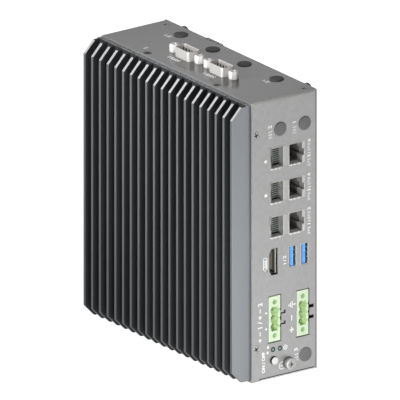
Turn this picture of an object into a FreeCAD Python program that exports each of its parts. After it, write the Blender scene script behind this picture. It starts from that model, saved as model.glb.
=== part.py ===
import FreeCAD, Part
import math
import os

# Fanless industrial computer, book format, millimetres.
# Frame: +Z up, the socket panel faces -Y, the finned heat sink faces -X, the side cover +X.
# The origin is the middle of the base, under the centre of the housing.

# ---- housing ----
housing_height = 172.0
housing_depth = 150.0
chassis_width = 47.0
sheet = 1.2
bend_radius = 1.5
seam = 0.25
flange_height = 8.0
corner_foot_width = 6.0
cover_lip_length = 15.0
cover_lip_height = 5.0
cover_lip_proud = 1.5
cover_lip_back = 103.0

# ---- heat sink ----
fin_reach = 13.0
fin_count = 20
fin_tip = 2.2
fin_root = 2.7
sink_front_setback = 1.5
sink_back_setback = 0.6
sink_edge_setback = 0.1
base_outside = 3.0
base_inside = 5.0
chamfer_across = 6.8
chamfer_along = 7.1
groove_width = 1.3
groove_depth = 1.0

# ---- fasteners ----
screw_radius = 1.5
screw_hole_play = 0.1
flat_head_radius = 2.5
round_faces = 12
hidden_faces = 8
long_hole_faces = 16
flat_screw_length = 6.0
pan_head_radius = 2.85
pan_head_height = 2.0
sink_screw_inset = 3.4
sink_screw_drop = 20.0
sink_screw_up = 20.1
top_screw_front = 39.4
top_screw_back = 41.6
cover_screw_inset = 3.6
cover_screw_front = 10.9
cover_screw_back = 17.0
tab_screw_front = 5.2
tab_screw_back = 7.3
tab_screw_across = 41.0
tab_width = 6.0
tab_screw_length = 4.5
small_screw_radius = 1.25
small_head_radius = 2.1

# ---- antenna hole plugs ----
plug_hole_radius = 3.2
plug_head_radius = 4.3
plug_head_height = 0.8
plug_barb_length = 3.4
plug_fit = 0.1
upper_plugs = ((20.4, 19.3), (37.9, 19.3))
lower_plug = (38.4, 10.2)
top_plug_across = 37.6
top_plug_backs = (27.6, 59.5, 90.9, 122.7)

# ---- boards ----
board_thickness = 1.6
board_standoff = 5.4
board_front_gap = 1.6
board_back_gap = 8.0
board_edge_gap = 6.0
board_hole_front = 39.6
board_hole_inset = 5.0
standoff_radius = 2.6

# ---- network ports: three stacked twin jacks, laid on their sides ----
jack_first_drop = 36.7
jack_pitch = 21.15
jack_rows = 3
jack_body_height = 17.6
jack_reach = 27.4
jack_depth = 21.0
jack_wall = 0.4
jack_play = 0.1
port_height = 12.4
latch_height = 4.2
left_port = (14.4, 22.6, 13.4)
right_port = (26.9, 36.1, 37.6)
port_depth = 13.5
lip_depth = 4.0
nose_margin = 0.5
nose_play = 0.1
contact_count = 8
contact_pitch = 1.27
contact_width = 0.5
contact_lift = 2.2

# ---- video port ----
video_across = (13.4, 18.1)
video_height = 14.8
video_chamfer = (1.6, 2.6)
video_window = 0.7
video_wall = 0.4
video_depth = 10.5
video_recess = 1.3
video_tongue = 1.4

# ---- data ports ----
data_centres = (29.3, 37.9)
data_lift = 0.7
data_width = 5.6
data_height = 13.2
data_wall = 0.35
data_depth = 13.0
data_play = 0.15
data_tongue = 2.3
data_tongue_side = 1.0
data_tongue_setback = 0.6

# ---- power inlets: three-way plug headers with screw flanges ----
inlet_centres = ((16.5, 36.5), (36.6, 36.1))
inlet_width = 8.6
inlet_height = 28.3
inlet_play = 0.4
inlet_depth = 12.0
inlet_cavity_height = 15.0
inlet_cavity_width = 6.2
inlet_cavity_depth = 8.6
inlet_pitch = 5.08
inlet_pin = 1.14
inlet_pin_length = 6.8
flange_hole_spacing = 20.6
flange_hole_radius = 1.3
flange_nut_radius = 1.25
flange_nut_outer = 2.3
flange_nut_length = 5.0
latch_slot_width = 3.5
latch_slot_height = 2.0
latch_slot_offsets = (-3.1, 3.5)

# ---- lights, button and earth point ----
light_places = ((15.3, 17.8), (20.3, 17.6))
light_radius = 1.5
light_length = 9.0
light_proud = 0.3
light_fit = 0.05
button_place = (15.8, 11.1)
button_radius = 2.3
button_hole_play = 0.25
button_proud = 1.7
button_length = 7.0
button_stem = 1.0
button_travel = 0.8
switch_size = 6.0
switch_height = 3.4
switch_gap = 0.3
earth_place = (25.8, 8.3)
earth_head_radius = 3.0
earth_head_height = 2.4
earth_washer_radius = 3.6
earth_washer_height = 1.6
earth_thread_radius = 2.0
earth_screw_length = 8.0
earth_nut_radius = 2.9
earth_nut_height = 2.2

# ---- serial ports on the top ----
serial_across = 17.5
serial_backs = (54.6, 88.5)
serial_long = 16.9
serial_wide = 8.4
serial_slope = 10.0
serial_corner = 2.2
serial_wall = 0.5
serial_shell_height = 5.8
serial_flange = (30.8, 12.4, 1.0)
serial_body_depth = 9.0
serial_insert_drop = 4.6
serial_post_spacing = 25.0
serial_post_height = 5.0
serial_post_radius = 2.65
serial_thread_radius = 1.2
serial_stud_radius = 1.6
serial_stud_hole = serial_stud_radius + 0.05
serial_pin_pitch = 2.77
serial_row_pitch = 2.84
serial_pin_radius = 0.5
serial_pin_height = 4.2

# ---- rear bracket nuts ----
bracket_spacing = (25.0, 50.0)
bracket_centre_up = 100.0
bracket_nut_outer = 3.6
bracket_thread_radius = 1.65
bracket_nut_length = 4.0

# ---- inside ----
spreader = (34.0, 34.0, 2.6)
pad_thickness = 0.5
processor = (24.0, 28.0)
processor_back = 78.0
processor_up = 104.0
memory_up = 52.0
memory_length = 69.6
memory_width = 30.0
memory_back_gap = 14.4
storage_length = 80.0
storage_width = 22.0
storage_up = 20.0
storage_back_gap = 9.6
cell_radius = 10.0
cell_height = 3.2
cell_front = 52.0
cell_drop = 40.0
coil_drop = 24.0
capacitor_drop = 20.5
middle_row_share = 0.27
riser_back = 30.5

# ---- where the housing lies ----
chassis_left = fin_reach - (chassis_width + fin_reach) / 2
chassis_right = chassis_left + chassis_width
front = -housing_depth / 2
back = housing_depth / 2
fin_tips = chassis_left - fin_reach
shell_right = chassis_right - sheet
inner_right = shell_right - sheet
sink_bottom = sheet + sink_edge_setback
sink_top = housing_height - sheet - sink_edge_setback
base_inner = chassis_left + base_inside
board_left = base_inner + board_standoff
board_right = board_left + board_thickness

# ---- rows on the panel, as drops from the top ----
jack_drops = [jack_first_drop + row * jack_pitch for row in range(jack_rows)]
jacks_end = jack_drops[-1] + jack_body_height / 2
inlets_start = housing_height - inlet_centres[0][1] - inlet_height / 2
middle_drop = (jacks_end + middle_row_share * (inlets_start - jacks_end - video_height) + video_height / 2)
video_drops = (middle_drop - video_height / 2, middle_drop + video_height / 2)
data_drop = middle_drop - data_lift

X_AXIS = FreeCAD.Vector(1, 0, 0)
Y_AXIS = FreeCAD.Vector(0, 1, 0)
Z_AXIS = FreeCAD.Vector(0, 0, 1)


def across(distance):
    """A place measured to the right from the chassis's left edge."""
    return chassis_left + distance


def behind(distance):
    """A place measured back from the panel's face."""
    return front + distance


def below(distance):
    """A place measured down from the top."""
    return housing_height - distance


def box(low, high):
    size = [b - a for a, b in zip(low, high)]
    return Part.makeBox(*size, FreeCAD.Vector(*low))


def rod(centre, direction, radius, length):
    return Part.makeCylinder(radius, length, FreeCAD.Vector(*centre), direction)


def prism(points, extrusion):
    """A solid from a closed outline of flat points, pushed along a vector."""
    corners = [FreeCAD.Vector(*p) for p in points]
    outline = Part.makePolygon(corners + corners[:1])
    return Part.Face(outline).extrude(FreeCAD.Vector(*extrusion))


def flat_ring(centre, direction, radius, sides):
    """The corners of a regular outline round centre, square to direction."""
    if abs(direction.z) > 0.5:
        one, other = X_AXIS, Y_AXIS
    elif abs(direction.x) > 0.5:
        one, other = Y_AXIS, Z_AXIS
    else:
        one, other = X_AXIS, Z_AXIS
    points = []
    for corner in range(sides):
        angle = 2 * math.pi * (corner + 0.5) / sides
        spoke = one * math.cos(angle) + other * math.sin(angle)
        points.append(FreeCAD.Vector(*centre) + spoke * radius)
    return points


def bar(centre, direction, radius, length, sides=6):
    """A bar with flat sides, radius to its corners, standing on centre."""
    return prism(flat_ring(centre, direction, radius, sides), direction * length)


def taper(centre, direction, start_radius, end_radius, length, sides=round_faces):
    """A tapered bar with flat sides, from one radius to another."""
    end = FreeCAD.Vector(*centre) + direction * length
    near = flat_ring(centre, direction, start_radius, sides)
    far = flat_ring(end, direction, end_radius, sides)
    outlines = [near, far]
    for corner in range(sides):
        ahead = (corner + 1) % sides
        outlines.append([near[corner], near[ahead], far[ahead], far[corner]])
    faces = [Part.Face(Part.makePolygon(outline + outline[:1])) for outline in outlines]
    shell = Part.makeShell(faces)
    shell.sewShape()
    body = Part.makeSolid(shell)
    if body.Volume < 0:
        body.reverse()
    return body


def group(shapes):
    """Separate pieces of one kind, kept as separate solids."""
    return Part.makeCompound([solid for shape in shapes for solid in shape.Solids])


# ---- screws that hold the sheet metal to the heat sink ----
def flat_screw(place, inward, length=flat_screw_length):
    """A countersunk screw whose head is flush at place and whose shank points inward."""
    head = taper(place, inward, flat_head_radius, screw_radius, sheet)
    start = FreeCAD.Vector(*place) + inward * sheet
    return head.fuse(bar(start, inward, screw_radius, length - sheet, round_faces)).removeSplitter()


def countersink(place, inward):
    """The tapered hole in the sheet that a flat screw's head fills."""
    return taper(place, inward, flat_head_radius + screw_hole_play, screw_radius + screw_hole_play, sheet)


def tapped_hole(place, inward, length=flat_screw_length):
    start = FreeCAD.Vector(*place) + inward * (sheet - 0.5)
    return bar(start, inward, screw_radius + screw_hole_play, length - sheet + 1.0, round_faces)


sink_screws = []
for z in (sink_screw_up, below(sink_screw_drop)):
    sink_screws.append(((across(sink_screw_inset), front, z), Y_AXIS))
    sink_screws.append(((across(sink_screw_inset), back, z), -Y_AXIS))
for y in (behind(top_screw_front), back - top_screw_back):
    sink_screws.append(((across(sink_screw_inset), y, housing_height), -Z_AXIS))
    sink_screws.append(((across(sink_screw_inset), y, 0.0), Z_AXIS))

tab_screw_places = (behind(tab_screw_front), back - tab_screw_back)
tab_screws = [((across(tab_screw_across), y, housing_height), -Z_AXIS) for y in tab_screw_places]

cover_screws = [(y, z) for y in (behind(cover_screw_front), back - cover_screw_back)
                for z in (cover_screw_inset, below(cover_screw_inset))]

board_holes = [(y, z) for y in (behind(board_hole_front), back - board_back_gap - board_hole_inset)
               for z in (board_edge_gap + board_hole_inset, housing_height / 2,
                         below(board_edge_gap + board_hole_inset))]


# ---- heat sink: an extrusion with upright fins, its corners cut off top and bottom ----
def heat_sink():
    start = behind(sink_front_setback)
    end = back - sink_back_setback
    floor = chassis_left - base_outside
    pitch = (end - start - fin_tip) / (fin_count - 1)
    spread = (fin_root - fin_tip) / 2
    groove_left = chassis_left - groove_width + 0.3
    groove_right = chassis_left + 0.3
    points = [(groove_right, end, sink_bottom), (groove_right, start, sink_bottom)]
    for fin in range(fin_count):
        tip_front = start + fin * pitch
        tip_back = tip_front + fin_tip
        root_front = tip_front if fin == 0 else tip_front - spread
        root_back = tip_back if fin == fin_count - 1 else tip_back + spread
        if fin > 0:
            points.append((floor, root_front, sink_bottom))
        points.append((fin_tips, tip_front, sink_bottom))
        points.append((fin_tips, tip_back, sink_bottom))
        if fin < fin_count - 1:
            points.append((floor, root_back, sink_bottom))
    body = prism(points, (0, 0, sink_top - sink_bottom))

    # the corners cut off along the whole row of fins, top and bottom
    for level, turn in ((sink_top, -1), (sink_bottom, 1)):
        corner = [(fin_tips - 1, start - 1, level - turn),
                  (fin_tips + chamfer_across, start - 1, level - turn),
                  (fin_tips + chamfer_across, start - 1, level),
                  (fin_tips, start - 1, level + turn * chamfer_along),
                  (fin_tips - 1, start - 1, level + turn * chamfer_along)]
        body = body.cut(prism(corner, (0, end - start + 2, 0)))

    # the shadow groove round the seat, where the edges of the sheet hang
    low = (groove_left, start - 1, sink_bottom - 1)
    high = (groove_right, end + 1, sink_top + 1)
    core_low = (groove_left - 1, start + groove_depth, sink_bottom + groove_depth)
    core_high = (groove_right + 1, end - groove_depth, sink_top - groove_depth)
    body = body.cut(box(low, high).cut(box(core_low, core_high)))

    # inside the housing the base reaches the folded walls
    seat = box((groove_right, behind(sheet + sink_edge_setback), sink_bottom),
               (base_inner, back - sheet - sink_edge_setback, sink_top))
    body = body.fuse(seat).removeSplitter()
    for place, inward in sink_screws:
        body = body.cut(tapped_hole(place, inward))
    for y, z in board_holes:
        hole = small_screw_radius + screw_hole_play
        body = body.cut(bar((base_inner + 1, y, z), -X_AXIS, hole, 4.0))
    return body


front_plugs = [(across(x), front, below(drop)) for x, drop in upper_plugs]
front_plugs.append((across(lower_plug[0]), front, lower_plug[1]))
top_plugs = [(across(top_plug_across), behind(distance), housing_height) for distance in top_plug_backs]


# ---- openings in the socket panel ----
def port_block(drop, port, grow, from_y, to_y):
    """One network port's opening: the plug's window with the latch's notch at its outer side."""
    near, far, notch = port
    half, latch = port_height / 2, latch_height / 2
    window = box((across(min(near, far)) - grow, from_y, below(drop) - half - grow),
                 (across(max(near, far)) + grow, to_y, below(drop) + half + grow))
    inner = (near + far) / 2
    low, high = min(notch, inner), max(notch, inner)
    grow_low = grow if notch < inner else 0.0
    grow_high = grow if notch > inner else 0.0
    key = box((across(low) - grow_low, from_y, below(drop) - latch - grow),
              (across(high) + grow_high, to_y, below(drop) + latch + grow))
    return window.fuse(key)


def nose_block(drop, port, grow, from_y, to_y):
    """The plain opening that a port's metal nose fills, flush with the panel."""
    half = port_height / 2 + nose_margin + grow
    return box((across(min(port) - nose_margin) - grow, from_y, below(drop) - half),
               (across(max(port) + nose_margin) + grow, to_y, below(drop) + half))


def video_block(grow, from_y, to_y):
    """The video port's outline, its two left corners cut off."""
    left, right = across(video_across[0]) - grow, across(video_across[1]) + grow
    high, low = below(video_drops[0]) + grow, below(video_drops[1]) - grow
    cut_x, cut_z = video_chamfer
    points = [(right, low), (right, high), (left + cut_x, high), (left, high - cut_z),
              (left, low + cut_z), (left + cut_x, low)]
    return prism([(x, from_y, z) for x, z in points], (0, to_y - from_y, 0))


def data_block(centre, grow, from_y, to_y):
    half_x, half_z = data_width / 2 + grow, data_height / 2 + grow
    x, z = across(centre), below(data_drop)
    return box((x - half_x, from_y, z - half_z), (x + half_x, to_y, z + half_z))


def inlet_block(place, grow, from_y, to_y):
    half_x, half_z = inlet_width / 2 + grow, inlet_height / 2 + grow
    x, z = across(place[0]), place[1]
    return box((x - half_x, from_y, z - half_z), (x + half_x, to_y, z + half_z))


def panel_cuts():
    start, end = front - 1, behind(sheet) + 0.5
    cuts = []
    for drop in jack_drops:
        for port in (left_port, right_port):
            cuts.append(nose_block(drop, port, nose_play, start, end))
    cuts.append(video_block(video_window, start, end))
    for centre in data_centres:
        cuts.append(data_block(centre, data_play, start, end))
    for place in inlet_centres:
        cuts.append(inlet_block(place, inlet_play, start, end))
        side = across(place[0]) + inlet_width / 2
        for offset in latch_slot_offsets:
            z = place[1] - offset
            cuts.append(box((side, start, z - latch_slot_height / 2),
                            (side + latch_slot_width, end, z + latch_slot_height / 2)))
    for x, y, z in front_plugs:
        cuts.append(bar((x, start, z), Y_AXIS, plug_hole_radius + plug_fit, end - start, round_faces))
    for x, z in light_places:
        hole = light_radius + light_fit
        cuts.append(bar((across(x), start, z), Y_AXIS, hole, end - start, long_hole_faces))
    x, z = button_place
    hole = button_radius + button_hole_play
    cuts.append(bar((across(x), start, z), Y_AXIS, hole, end - start, long_hole_faces))
    x, z = earth_place
    hole = earth_thread_radius + screw_hole_play
    cuts.append(bar((across(x), start, z), Y_AXIS, hole, end - start, hidden_faces))
    return cuts


def serial_outline(grow, height, level):
    """The D outline of a serial port: round corners, its long side to the right, its sides sloped inward."""
    lean = math.tan(math.radians(serial_slope)) * serial_wide / 2
    half_long, half_wide = serial_long / 2, serial_wide / 2
    points = [(half_wide + grow, -half_long - grow), (half_wide + grow, half_long + grow),
              (-half_wide - grow, half_long - 2 * lean + grow),
              (-half_wide - grow, -half_long + 2 * lean - grow)]
    body = prism([(x, y, level) for x, y in points], (0, 0, height))
    upright = [edge for edge in body.Edges if abs(edge.tangentAt(edge.FirstParameter).z) > 0.9]
    return body.makeFillet(serial_corner + grow, upright)


def at_serial(shape, distance):
    return shape.translated(FreeCAD.Vector(across(serial_across), behind(distance), 0))


def top_cuts():
    start = housing_height - sheet - 0.5
    cuts = []
    for distance in serial_backs:
        cuts.append(at_serial(serial_outline(0.3, sheet + 2, start), distance))
        for side in (-1, 1):
            y = behind(distance) + side * serial_post_spacing / 2
            place = (across(serial_across), y, start)
            cuts.append(bar(place, Z_AXIS, serial_stud_hole, sheet + 2, hidden_faces))
    for x, y, z in top_plugs:
        cuts.append(bar((x, y, start), Z_AXIS, plug_hole_radius + plug_fit, sheet + 2, round_faces))
    return cuts


# ---- the folded shell: panel, top and rear wall in one sheet ----
def folded_shell():
    inner = max(bend_radius - sheet, 0.2)
    left, right = chassis_left, shell_right - seam
    outside = box((left, front, sheet + seam), (right, back, housing_height))
    edges = [edge for edge in outside.Edges
             if abs(edge.Vertexes[0].Z - housing_height) < 1e-6
             and abs(edge.Vertexes[-1].Z - housing_height) < 1e-6
             and abs(edge.tangentAt(edge.FirstParameter).x) > 0.9]
    outside = outside.makeFillet(bend_radius, edges)
    hollow = box((left - 1, front + sheet, -1), (right + 1, back - sheet, housing_height - sheet))
    edges = [edge for edge in hollow.Edges
             if abs(edge.Vertexes[0].Z - (housing_height - sheet)) < 1e-6
             and abs(edge.Vertexes[-1].Z - (housing_height - sheet)) < 1e-6
             and abs(edge.tangentAt(edge.FirstParameter).x) > 0.9]
    hollow = hollow.makeFillet(inner, edges)
    walls = outside.cut(hollow)
    feet = [box((left, front, 0), (left + corner_foot_width, front + sheet, sheet + seam)),
            box((left, back - sheet, 0), (left + corner_foot_width, back, sheet + seam))]
    top_under = housing_height - sheet
    flange = box((inner_right, tab_screw_places[0] + tab_width / 2 + seam, top_under - flange_height),
                 (shell_right, tab_screw_places[1] - tab_width / 2 - seam, top_under))
    shell = walls.fuse(feet + [flange]).removeSplitter()
    shell = shell.cut(panel_cuts() + top_cuts())
    for place, inward in sink_screws + tab_screws:
        if inward != Z_AXIS:
            shell = shell.cut(countersink(place, inward))
    for y, z in cover_screws:
        shell = shell.cut(cover_screw_hole(y, z))
    for place in bracket_places():
        shell = shell.cut(bar(place, -Y_AXIS, bracket_thread_radius + 0.5, 3 * sheet, 12))
    return shell


def bracket_places():
    """The four rear nuts, on the rear wall's inner face."""
    middle = (across(sink_screw_inset) + shell_right) / 2
    return [(middle + x * bracket_spacing[0] / 2, back + sheet,
             bracket_centre_up + z * bracket_spacing[1] / 2) for x in (-1, 1) for z in (-1, 1)]


# ---- bottom plate: a tray with upturned edges ----
def bottom_plate():
    left, right = chassis_left, shell_right - seam
    plate = box((left, front, 0), (right, back, sheet))
    for y0, y1 in ((front - 1, front + sheet + seam), (back - sheet - seam, back + 1)):
        plate = plate.cut(box((left - 1, y0, -1), (left + corner_foot_width + seam, y1, sheet + 1)))
    side = box((inner_right, behind(sheet) + 4.0, 0),
               (shell_right, back - sheet - 4.0, sheet + flange_height))
    lip_left, lip_right = base_inner + 2.0, inner_right - 2.0
    lips = [box((lip_left, behind(sheet), 0), (lip_right, behind(2 * sheet), sheet + 2.6)),
            box((lip_left, back - 2 * sheet, 0), (lip_right, back - sheet, sheet + flange_height))]
    plate = plate.fuse([side] + lips).removeSplitter()
    for place, inward in sink_screws:
        if inward == Z_AXIS:
            plate = plate.cut(countersink(place, inward))
    for y, z in cover_screws:
        plate = plate.cut(cover_screw_hole(y, z))
    return plate


# ---- side cover: a flat sheet with two tabs under the top and a finger lip pressed out of it ----
def side_cover():
    panel = box((shell_right, front, 0), (chassis_right, back, housing_height))
    rims = [edge for edge in panel.Edges
            if abs(edge.Vertexes[0].X - chassis_right) < 1e-6
            and abs(edge.Vertexes[-1].X - chassis_right) < 1e-6]
    panel = panel.makeChamfer(sheet * 0.35, rims)
    middle = behind(cover_lip_back)
    lip_high = housing_height - 0.4
    outline = [(chassis_right - sheet * 0.5, lip_high), (chassis_right + cover_lip_proud, lip_high),
               (chassis_right + cover_lip_proud, lip_high - cover_lip_height + cover_lip_proud),
               (chassis_right - sheet * 0.5, lip_high - cover_lip_height)]
    lip = prism([(x, middle - cover_lip_length / 2, z) for x, z in outline], (0, cover_lip_length, 0))
    hollow = [(shell_right - 1, lip_high + 1), (chassis_right + cover_lip_proud - 0.8, lip_high + 1),
              (chassis_right + cover_lip_proud - 0.8, lip_high - cover_lip_height + cover_lip_proud + 0.6),
              (shell_right - 1, lip_high - cover_lip_height)]
    pressed = prism([(x, middle - cover_lip_length / 2 + 0.8, z) for x, z in hollow],
                    (0, cover_lip_length - 1.6, 0))
    under = housing_height - sheet
    tabs = [box((across(tab_screw_across) - 4.0, y - tab_width / 2, under - sheet),
                (chassis_right - sheet * 0.5, y + tab_width / 2, under)) for y in tab_screw_places]
    cover = panel.fuse([lip] + tabs).cut(pressed).removeSplitter()
    for place, inward in tab_screws:
        cover = cover.cut(tapped_hole(place, inward))
    for y, z in cover_screws:
        cover = cover.cut(cover_screw_hole(y, z))
    return cover


def cover_screw_hole(y, z):
    return bar((inner_right - 1, y, z), X_AXIS, screw_radius + screw_hole_play, 2 * sheet + 2, hidden_faces)


def cover_screw(y, z):
    """A pan head screw: a tapered head on a round shank."""
    head = taper((chassis_right, y, z), X_AXIS, pan_head_radius, pan_head_radius - 0.8, pan_head_height)
    shank = bar((chassis_right, y, z), -X_AXIS, screw_radius, 2 * sheet + 1.5, hidden_faces)
    return head.fuse(shank).removeSplitter()


# ---- plugs that close the antenna holes ----
def antenna_plug(place, inward):
    """A shallow domed cap on a square barbed stem that grips the hole."""
    start = FreeCAD.Vector(*place)
    head = taper(place, -inward, plug_head_radius, plug_head_radius - plug_head_height, plug_head_height, 16)
    stem = bar(start, inward, plug_hole_radius, plug_barb_length, 4)
    return head.fuse(stem).removeSplitter()


# ---- network jacks ----
def jack_span(drop):
    return below(drop) - jack_body_height / 2, below(drop) + jack_body_height / 2


def jack_shield(drop):
    """A metal can open at the back, with a nose and a turned-in lip round each port."""
    low, high = jack_span(drop)
    start, end = behind(sheet), behind(sheet + jack_depth)
    can = box((board_right, start, low), (board_right + jack_reach, end, high))
    inner = box((board_right - 1, start + jack_wall, low + jack_wall),
                (board_right + jack_reach - jack_wall, end + 1, high - jack_wall))
    can = can.cut(inner)
    ports = (left_port, right_port)
    lips = [port_block(drop, port, jack_wall, start, start + lip_depth) for port in ports]
    noses = [nose_block(drop, port, 0.0, front, start + jack_wall / 2) for port in ports]
    can = can.fuse(lips + noses).removeSplitter()
    return can.cut([port_block(drop, port, 0.0, front - 1, start + lip_depth + 1) for port in ports])


def jack_insert(drop):
    """The moulded body inside the can, with a deep socket for each port."""
    low, high = jack_span(drop)
    start = behind(sheet) + jack_wall
    gap = jack_wall + jack_play
    body = box((board_right, start + jack_play, low + gap),
               (board_right + jack_reach - gap, behind(sheet + jack_depth), high - gap))
    for port in (left_port, right_port):
        body = body.cut(port_block(drop, port, 0.0, start - 1, behind(port_depth)))
        body = body.cut(port_block(drop, port, gap, start - 1, behind(sheet) + lip_depth + jack_play))
    return body


def jack_contacts(drop, port):
    """Eight sprung wires that slope out from the wall across from the latch."""
    near, far, notch = port
    wall = far if notch < near else near
    turn = -1 if wall == far else 1
    wires = []
    start, end = behind(sheet + lip_depth + 0.6), behind(port_depth)
    for wire in range(contact_count):
        z = below(drop) + (wire - (contact_count - 1) / 2) * contact_pitch - contact_width / 2
        x = across(wall)
        points = [(x, start, z), (x + turn * 0.4, start, z), (x + turn * contact_lift, end, z),
                  (x + turn * (contact_lift - 0.4), end, z)]
        wires.append(prism(points, (0, 0, contact_width)))
    return wires


# ---- video port ----
def video_shell():
    start, end = behind(video_recess), behind(video_recess + video_depth)
    shell = video_block(0.0, start, end).cut(video_block(-video_wall, start - 1, end - 2 * video_wall))
    foot = box((board_right, behind(sheet + 1.5), below(video_drops[1]) + 3.0),
               (across(video_across[0]) + video_wall / 2, end, below(video_drops[0]) - 3.0))
    return shell.fuse(foot).removeSplitter()


def video_tongue_piece():
    middle = across((video_across[0] + video_across[1]) / 2)
    end = behind(video_recess + video_depth) - 2 * video_wall
    high, low = below(video_drops[0] + 2.2), below(video_drops[1] - 2.2)
    blade = box((middle - video_tongue / 2, behind(video_recess + 1.0), low),
                (middle + video_tongue / 2, end, high))
    root = video_block(-video_wall - 0.05, end - 2.0, end)
    return blade.fuse(root).removeSplitter()


# ---- data ports ----
def data_shell(centre):
    start, end = front, behind(data_depth)
    hollow = data_block(centre, -data_wall, start - 1, end - data_wall)
    return data_block(centre, 0.0, start, end).cut(hollow)


def data_tongue_piece(centre):
    end = behind(data_depth) - data_wall
    half_z = data_height / 2 - data_wall - 0.3
    x0 = across(centre) - data_width / 2 + data_wall + data_tongue_side
    z = below(data_drop)
    blade = box((x0, behind(data_tongue_setback), z - half_z), (x0 + data_tongue, end, z + half_z))
    root = data_block(centre, -data_wall - 0.05, end - 2.0, end)
    return blade.fuse(root).removeSplitter()


# ---- power inlets ----
def inlet_cavity(place):
    """The plug's well: a flat slot with a round scallop beside each way."""
    x, z = across(place[0]), place[1]
    start, end = front - 1, front + inlet_cavity_depth
    scallop = inlet_pitch / 2
    reach = inlet_cavity_width / 2 - 0.9
    well = box((x - reach, start, z - inlet_cavity_height / 2),
               (x + reach, end, z + inlet_cavity_height / 2))
    rounds = []
    for way in (-1, 0, 1):
        for side in (-1, 1):
            centre = (x + side * (inlet_cavity_width / 2 - scallop), start, z + way * inlet_pitch)
            rounds.append(bar(centre, Y_AXIS, scallop - 0.05, end - start, 12))
    return well.fuse(rounds).removeSplitter()


def inlet_body(place):
    start = front
    body = inlet_block(place, 0.0, start, start + inlet_depth).cut(inlet_cavity(place))
    x, z = across(place[0]), place[1]
    for side in (-1, 1):
        hole = (x, start - 1, z + side * flange_hole_spacing / 2)
        body = body.cut(bar(hole, Y_AXIS, flange_hole_radius, inlet_depth + 2, long_hole_faces))
        seat = (x, start + inlet_depth - flange_nut_length, z + side * flange_hole_spacing / 2)
        body = body.cut(bar(seat, Y_AXIS, flange_nut_outer, flange_nut_length + 1))
    for way in (-1, 0, 1):
        half = inlet_pin / 2
        centre = z + way * inlet_pitch
        body = body.cut(box((x - half, start, centre - half),
                            (x + half, start + inlet_depth, centre + half)))
    return body


def inlet_pins(place):
    x, z = across(place[0]), place[1]
    bottom = front + inlet_cavity_depth
    half = inlet_pin / 2
    end = front + inlet_depth
    return [box((x - half, bottom - inlet_pin_length, z + way * inlet_pitch - half),
                (x + half, end, z + way * inlet_pitch + half)) for way in (-1, 0, 1)]


def inlet_nuts(place):
    x, z = across(place[0]), place[1]
    start = front + inlet_depth - flange_nut_length
    nuts = []
    for side in (-1, 1):
        centre = (x, start, z + side * flange_hole_spacing / 2)
        nuts.append(bar(centre, Y_AXIS, flange_nut_outer, flange_nut_length)
                    .cut(rod(centre, Y_AXIS, flange_nut_radius, flange_nut_length)))
    return nuts


# ---- lights, button and earth point ----
def light_pipe(place):
    return rod((across(place[0]), front - light_proud, place[1]), Y_AXIS, light_radius, light_length)


def light_carrier():
    """The block that holds both light pipes off the main board."""
    start, end = behind(sheet + 1.5), front - light_proud + light_length
    right = across(light_places[1][0])
    low = light_places[1][1] - light_radius - 1.0
    high = light_places[0][1] + light_radius + 1.0
    block = box((board_right, start, low), (right, end, high))
    for place in light_places:
        hole = (across(place[0]), start - 1, place[1])
        block = block.cut(bar(hole, Y_AXIS, light_radius + light_fit, end - start + 2, long_hole_faces))
    return block


def power_button_piece():
    x, z = across(button_place[0]), button_place[1]
    start = front - button_proud
    bevel = 0.35
    crown = Part.makeCone(button_radius - bevel, button_radius, bevel, FreeCAD.Vector(x, start, z), Y_AXIS)
    cap = rod((x, start + bevel, z), Y_AXIS, button_radius, button_length - bevel)
    stem = bar((x, start + button_length, z), Y_AXIS, button_stem, button_travel + switch_gap, hidden_faces)
    return cap.fuse([crown, stem]).removeSplitter()


def power_switch_piece():
    x, z = across(button_place[0]), button_place[1]
    start = front - button_proud + button_length + button_travel + switch_gap + 0.1
    body = box((x - switch_size / 2, start, z - switch_size / 2),
               (x + switch_size / 2, start + switch_height, z + switch_size / 2))
    bore = bar((x, start - 0.1, z), Y_AXIS, button_stem + 0.3, button_travel + 0.4, hidden_faces)
    leg = box((board_right, start, z - switch_size / 2),
              (x - switch_size / 2, start + switch_height, z + switch_size / 2))
    return body.cut(bore).fuse(leg).removeSplitter()


def earth_screw_piece():
    x, z = across(earth_place[0]), earth_place[1]
    head_start = front - earth_washer_height
    head = taper((x, head_start, z), -Y_AXIS, earth_head_radius, earth_head_radius - 0.7, earth_head_height)
    shank = bar((x, head_start, z), Y_AXIS, earth_thread_radius, earth_screw_length, hidden_faces)
    return head.fuse(shank).removeSplitter()


def earth_washer_piece():
    x, z = across(earth_place[0]), earth_place[1]
    washer = rod((x, front - earth_washer_height, z), Y_AXIS, earth_washer_radius, earth_washer_height)
    return washer.cut(bar((x, front - earth_washer_height - 1, z), Y_AXIS,
                          earth_thread_radius + screw_hole_play, earth_washer_height + 2, hidden_faces))


def earth_nut_piece():
    x, z = across(earth_place[0]), earth_place[1]
    nut = bar((x, behind(sheet), z), Y_AXIS, earth_nut_radius, earth_nut_height)
    return nut.cut(bar((x, front, z), Y_AXIS, earth_thread_radius + screw_hole_play,
                       sheet + earth_nut_height + 1, hidden_faces))


# ---- serial ports ----
def serial_shell_piece(distance):
    """A drawn metal shell with its flange held under the top."""
    under = housing_height - sheet
    long, wide, thick = serial_flange
    plate = box((-wide / 2, -long / 2, under - thick), (wide / 2, long / 2, under))
    tall = sheet + thick + serial_shell_height
    wall = serial_outline(0.0, tall, under - thick)
    hollow = serial_outline(-serial_wall, tall + 2, under - thick - 1)
    shell = plate.fuse(wall).cut(hollow).removeSplitter()
    for side in (-1, 1):
        shell = shell.cut(bar((0, side * serial_post_spacing / 2, under - thick - 1), Z_AXIS,
                              serial_stud_hole, thick + 2, hidden_faces))
    return at_serial(shell, distance)


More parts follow.
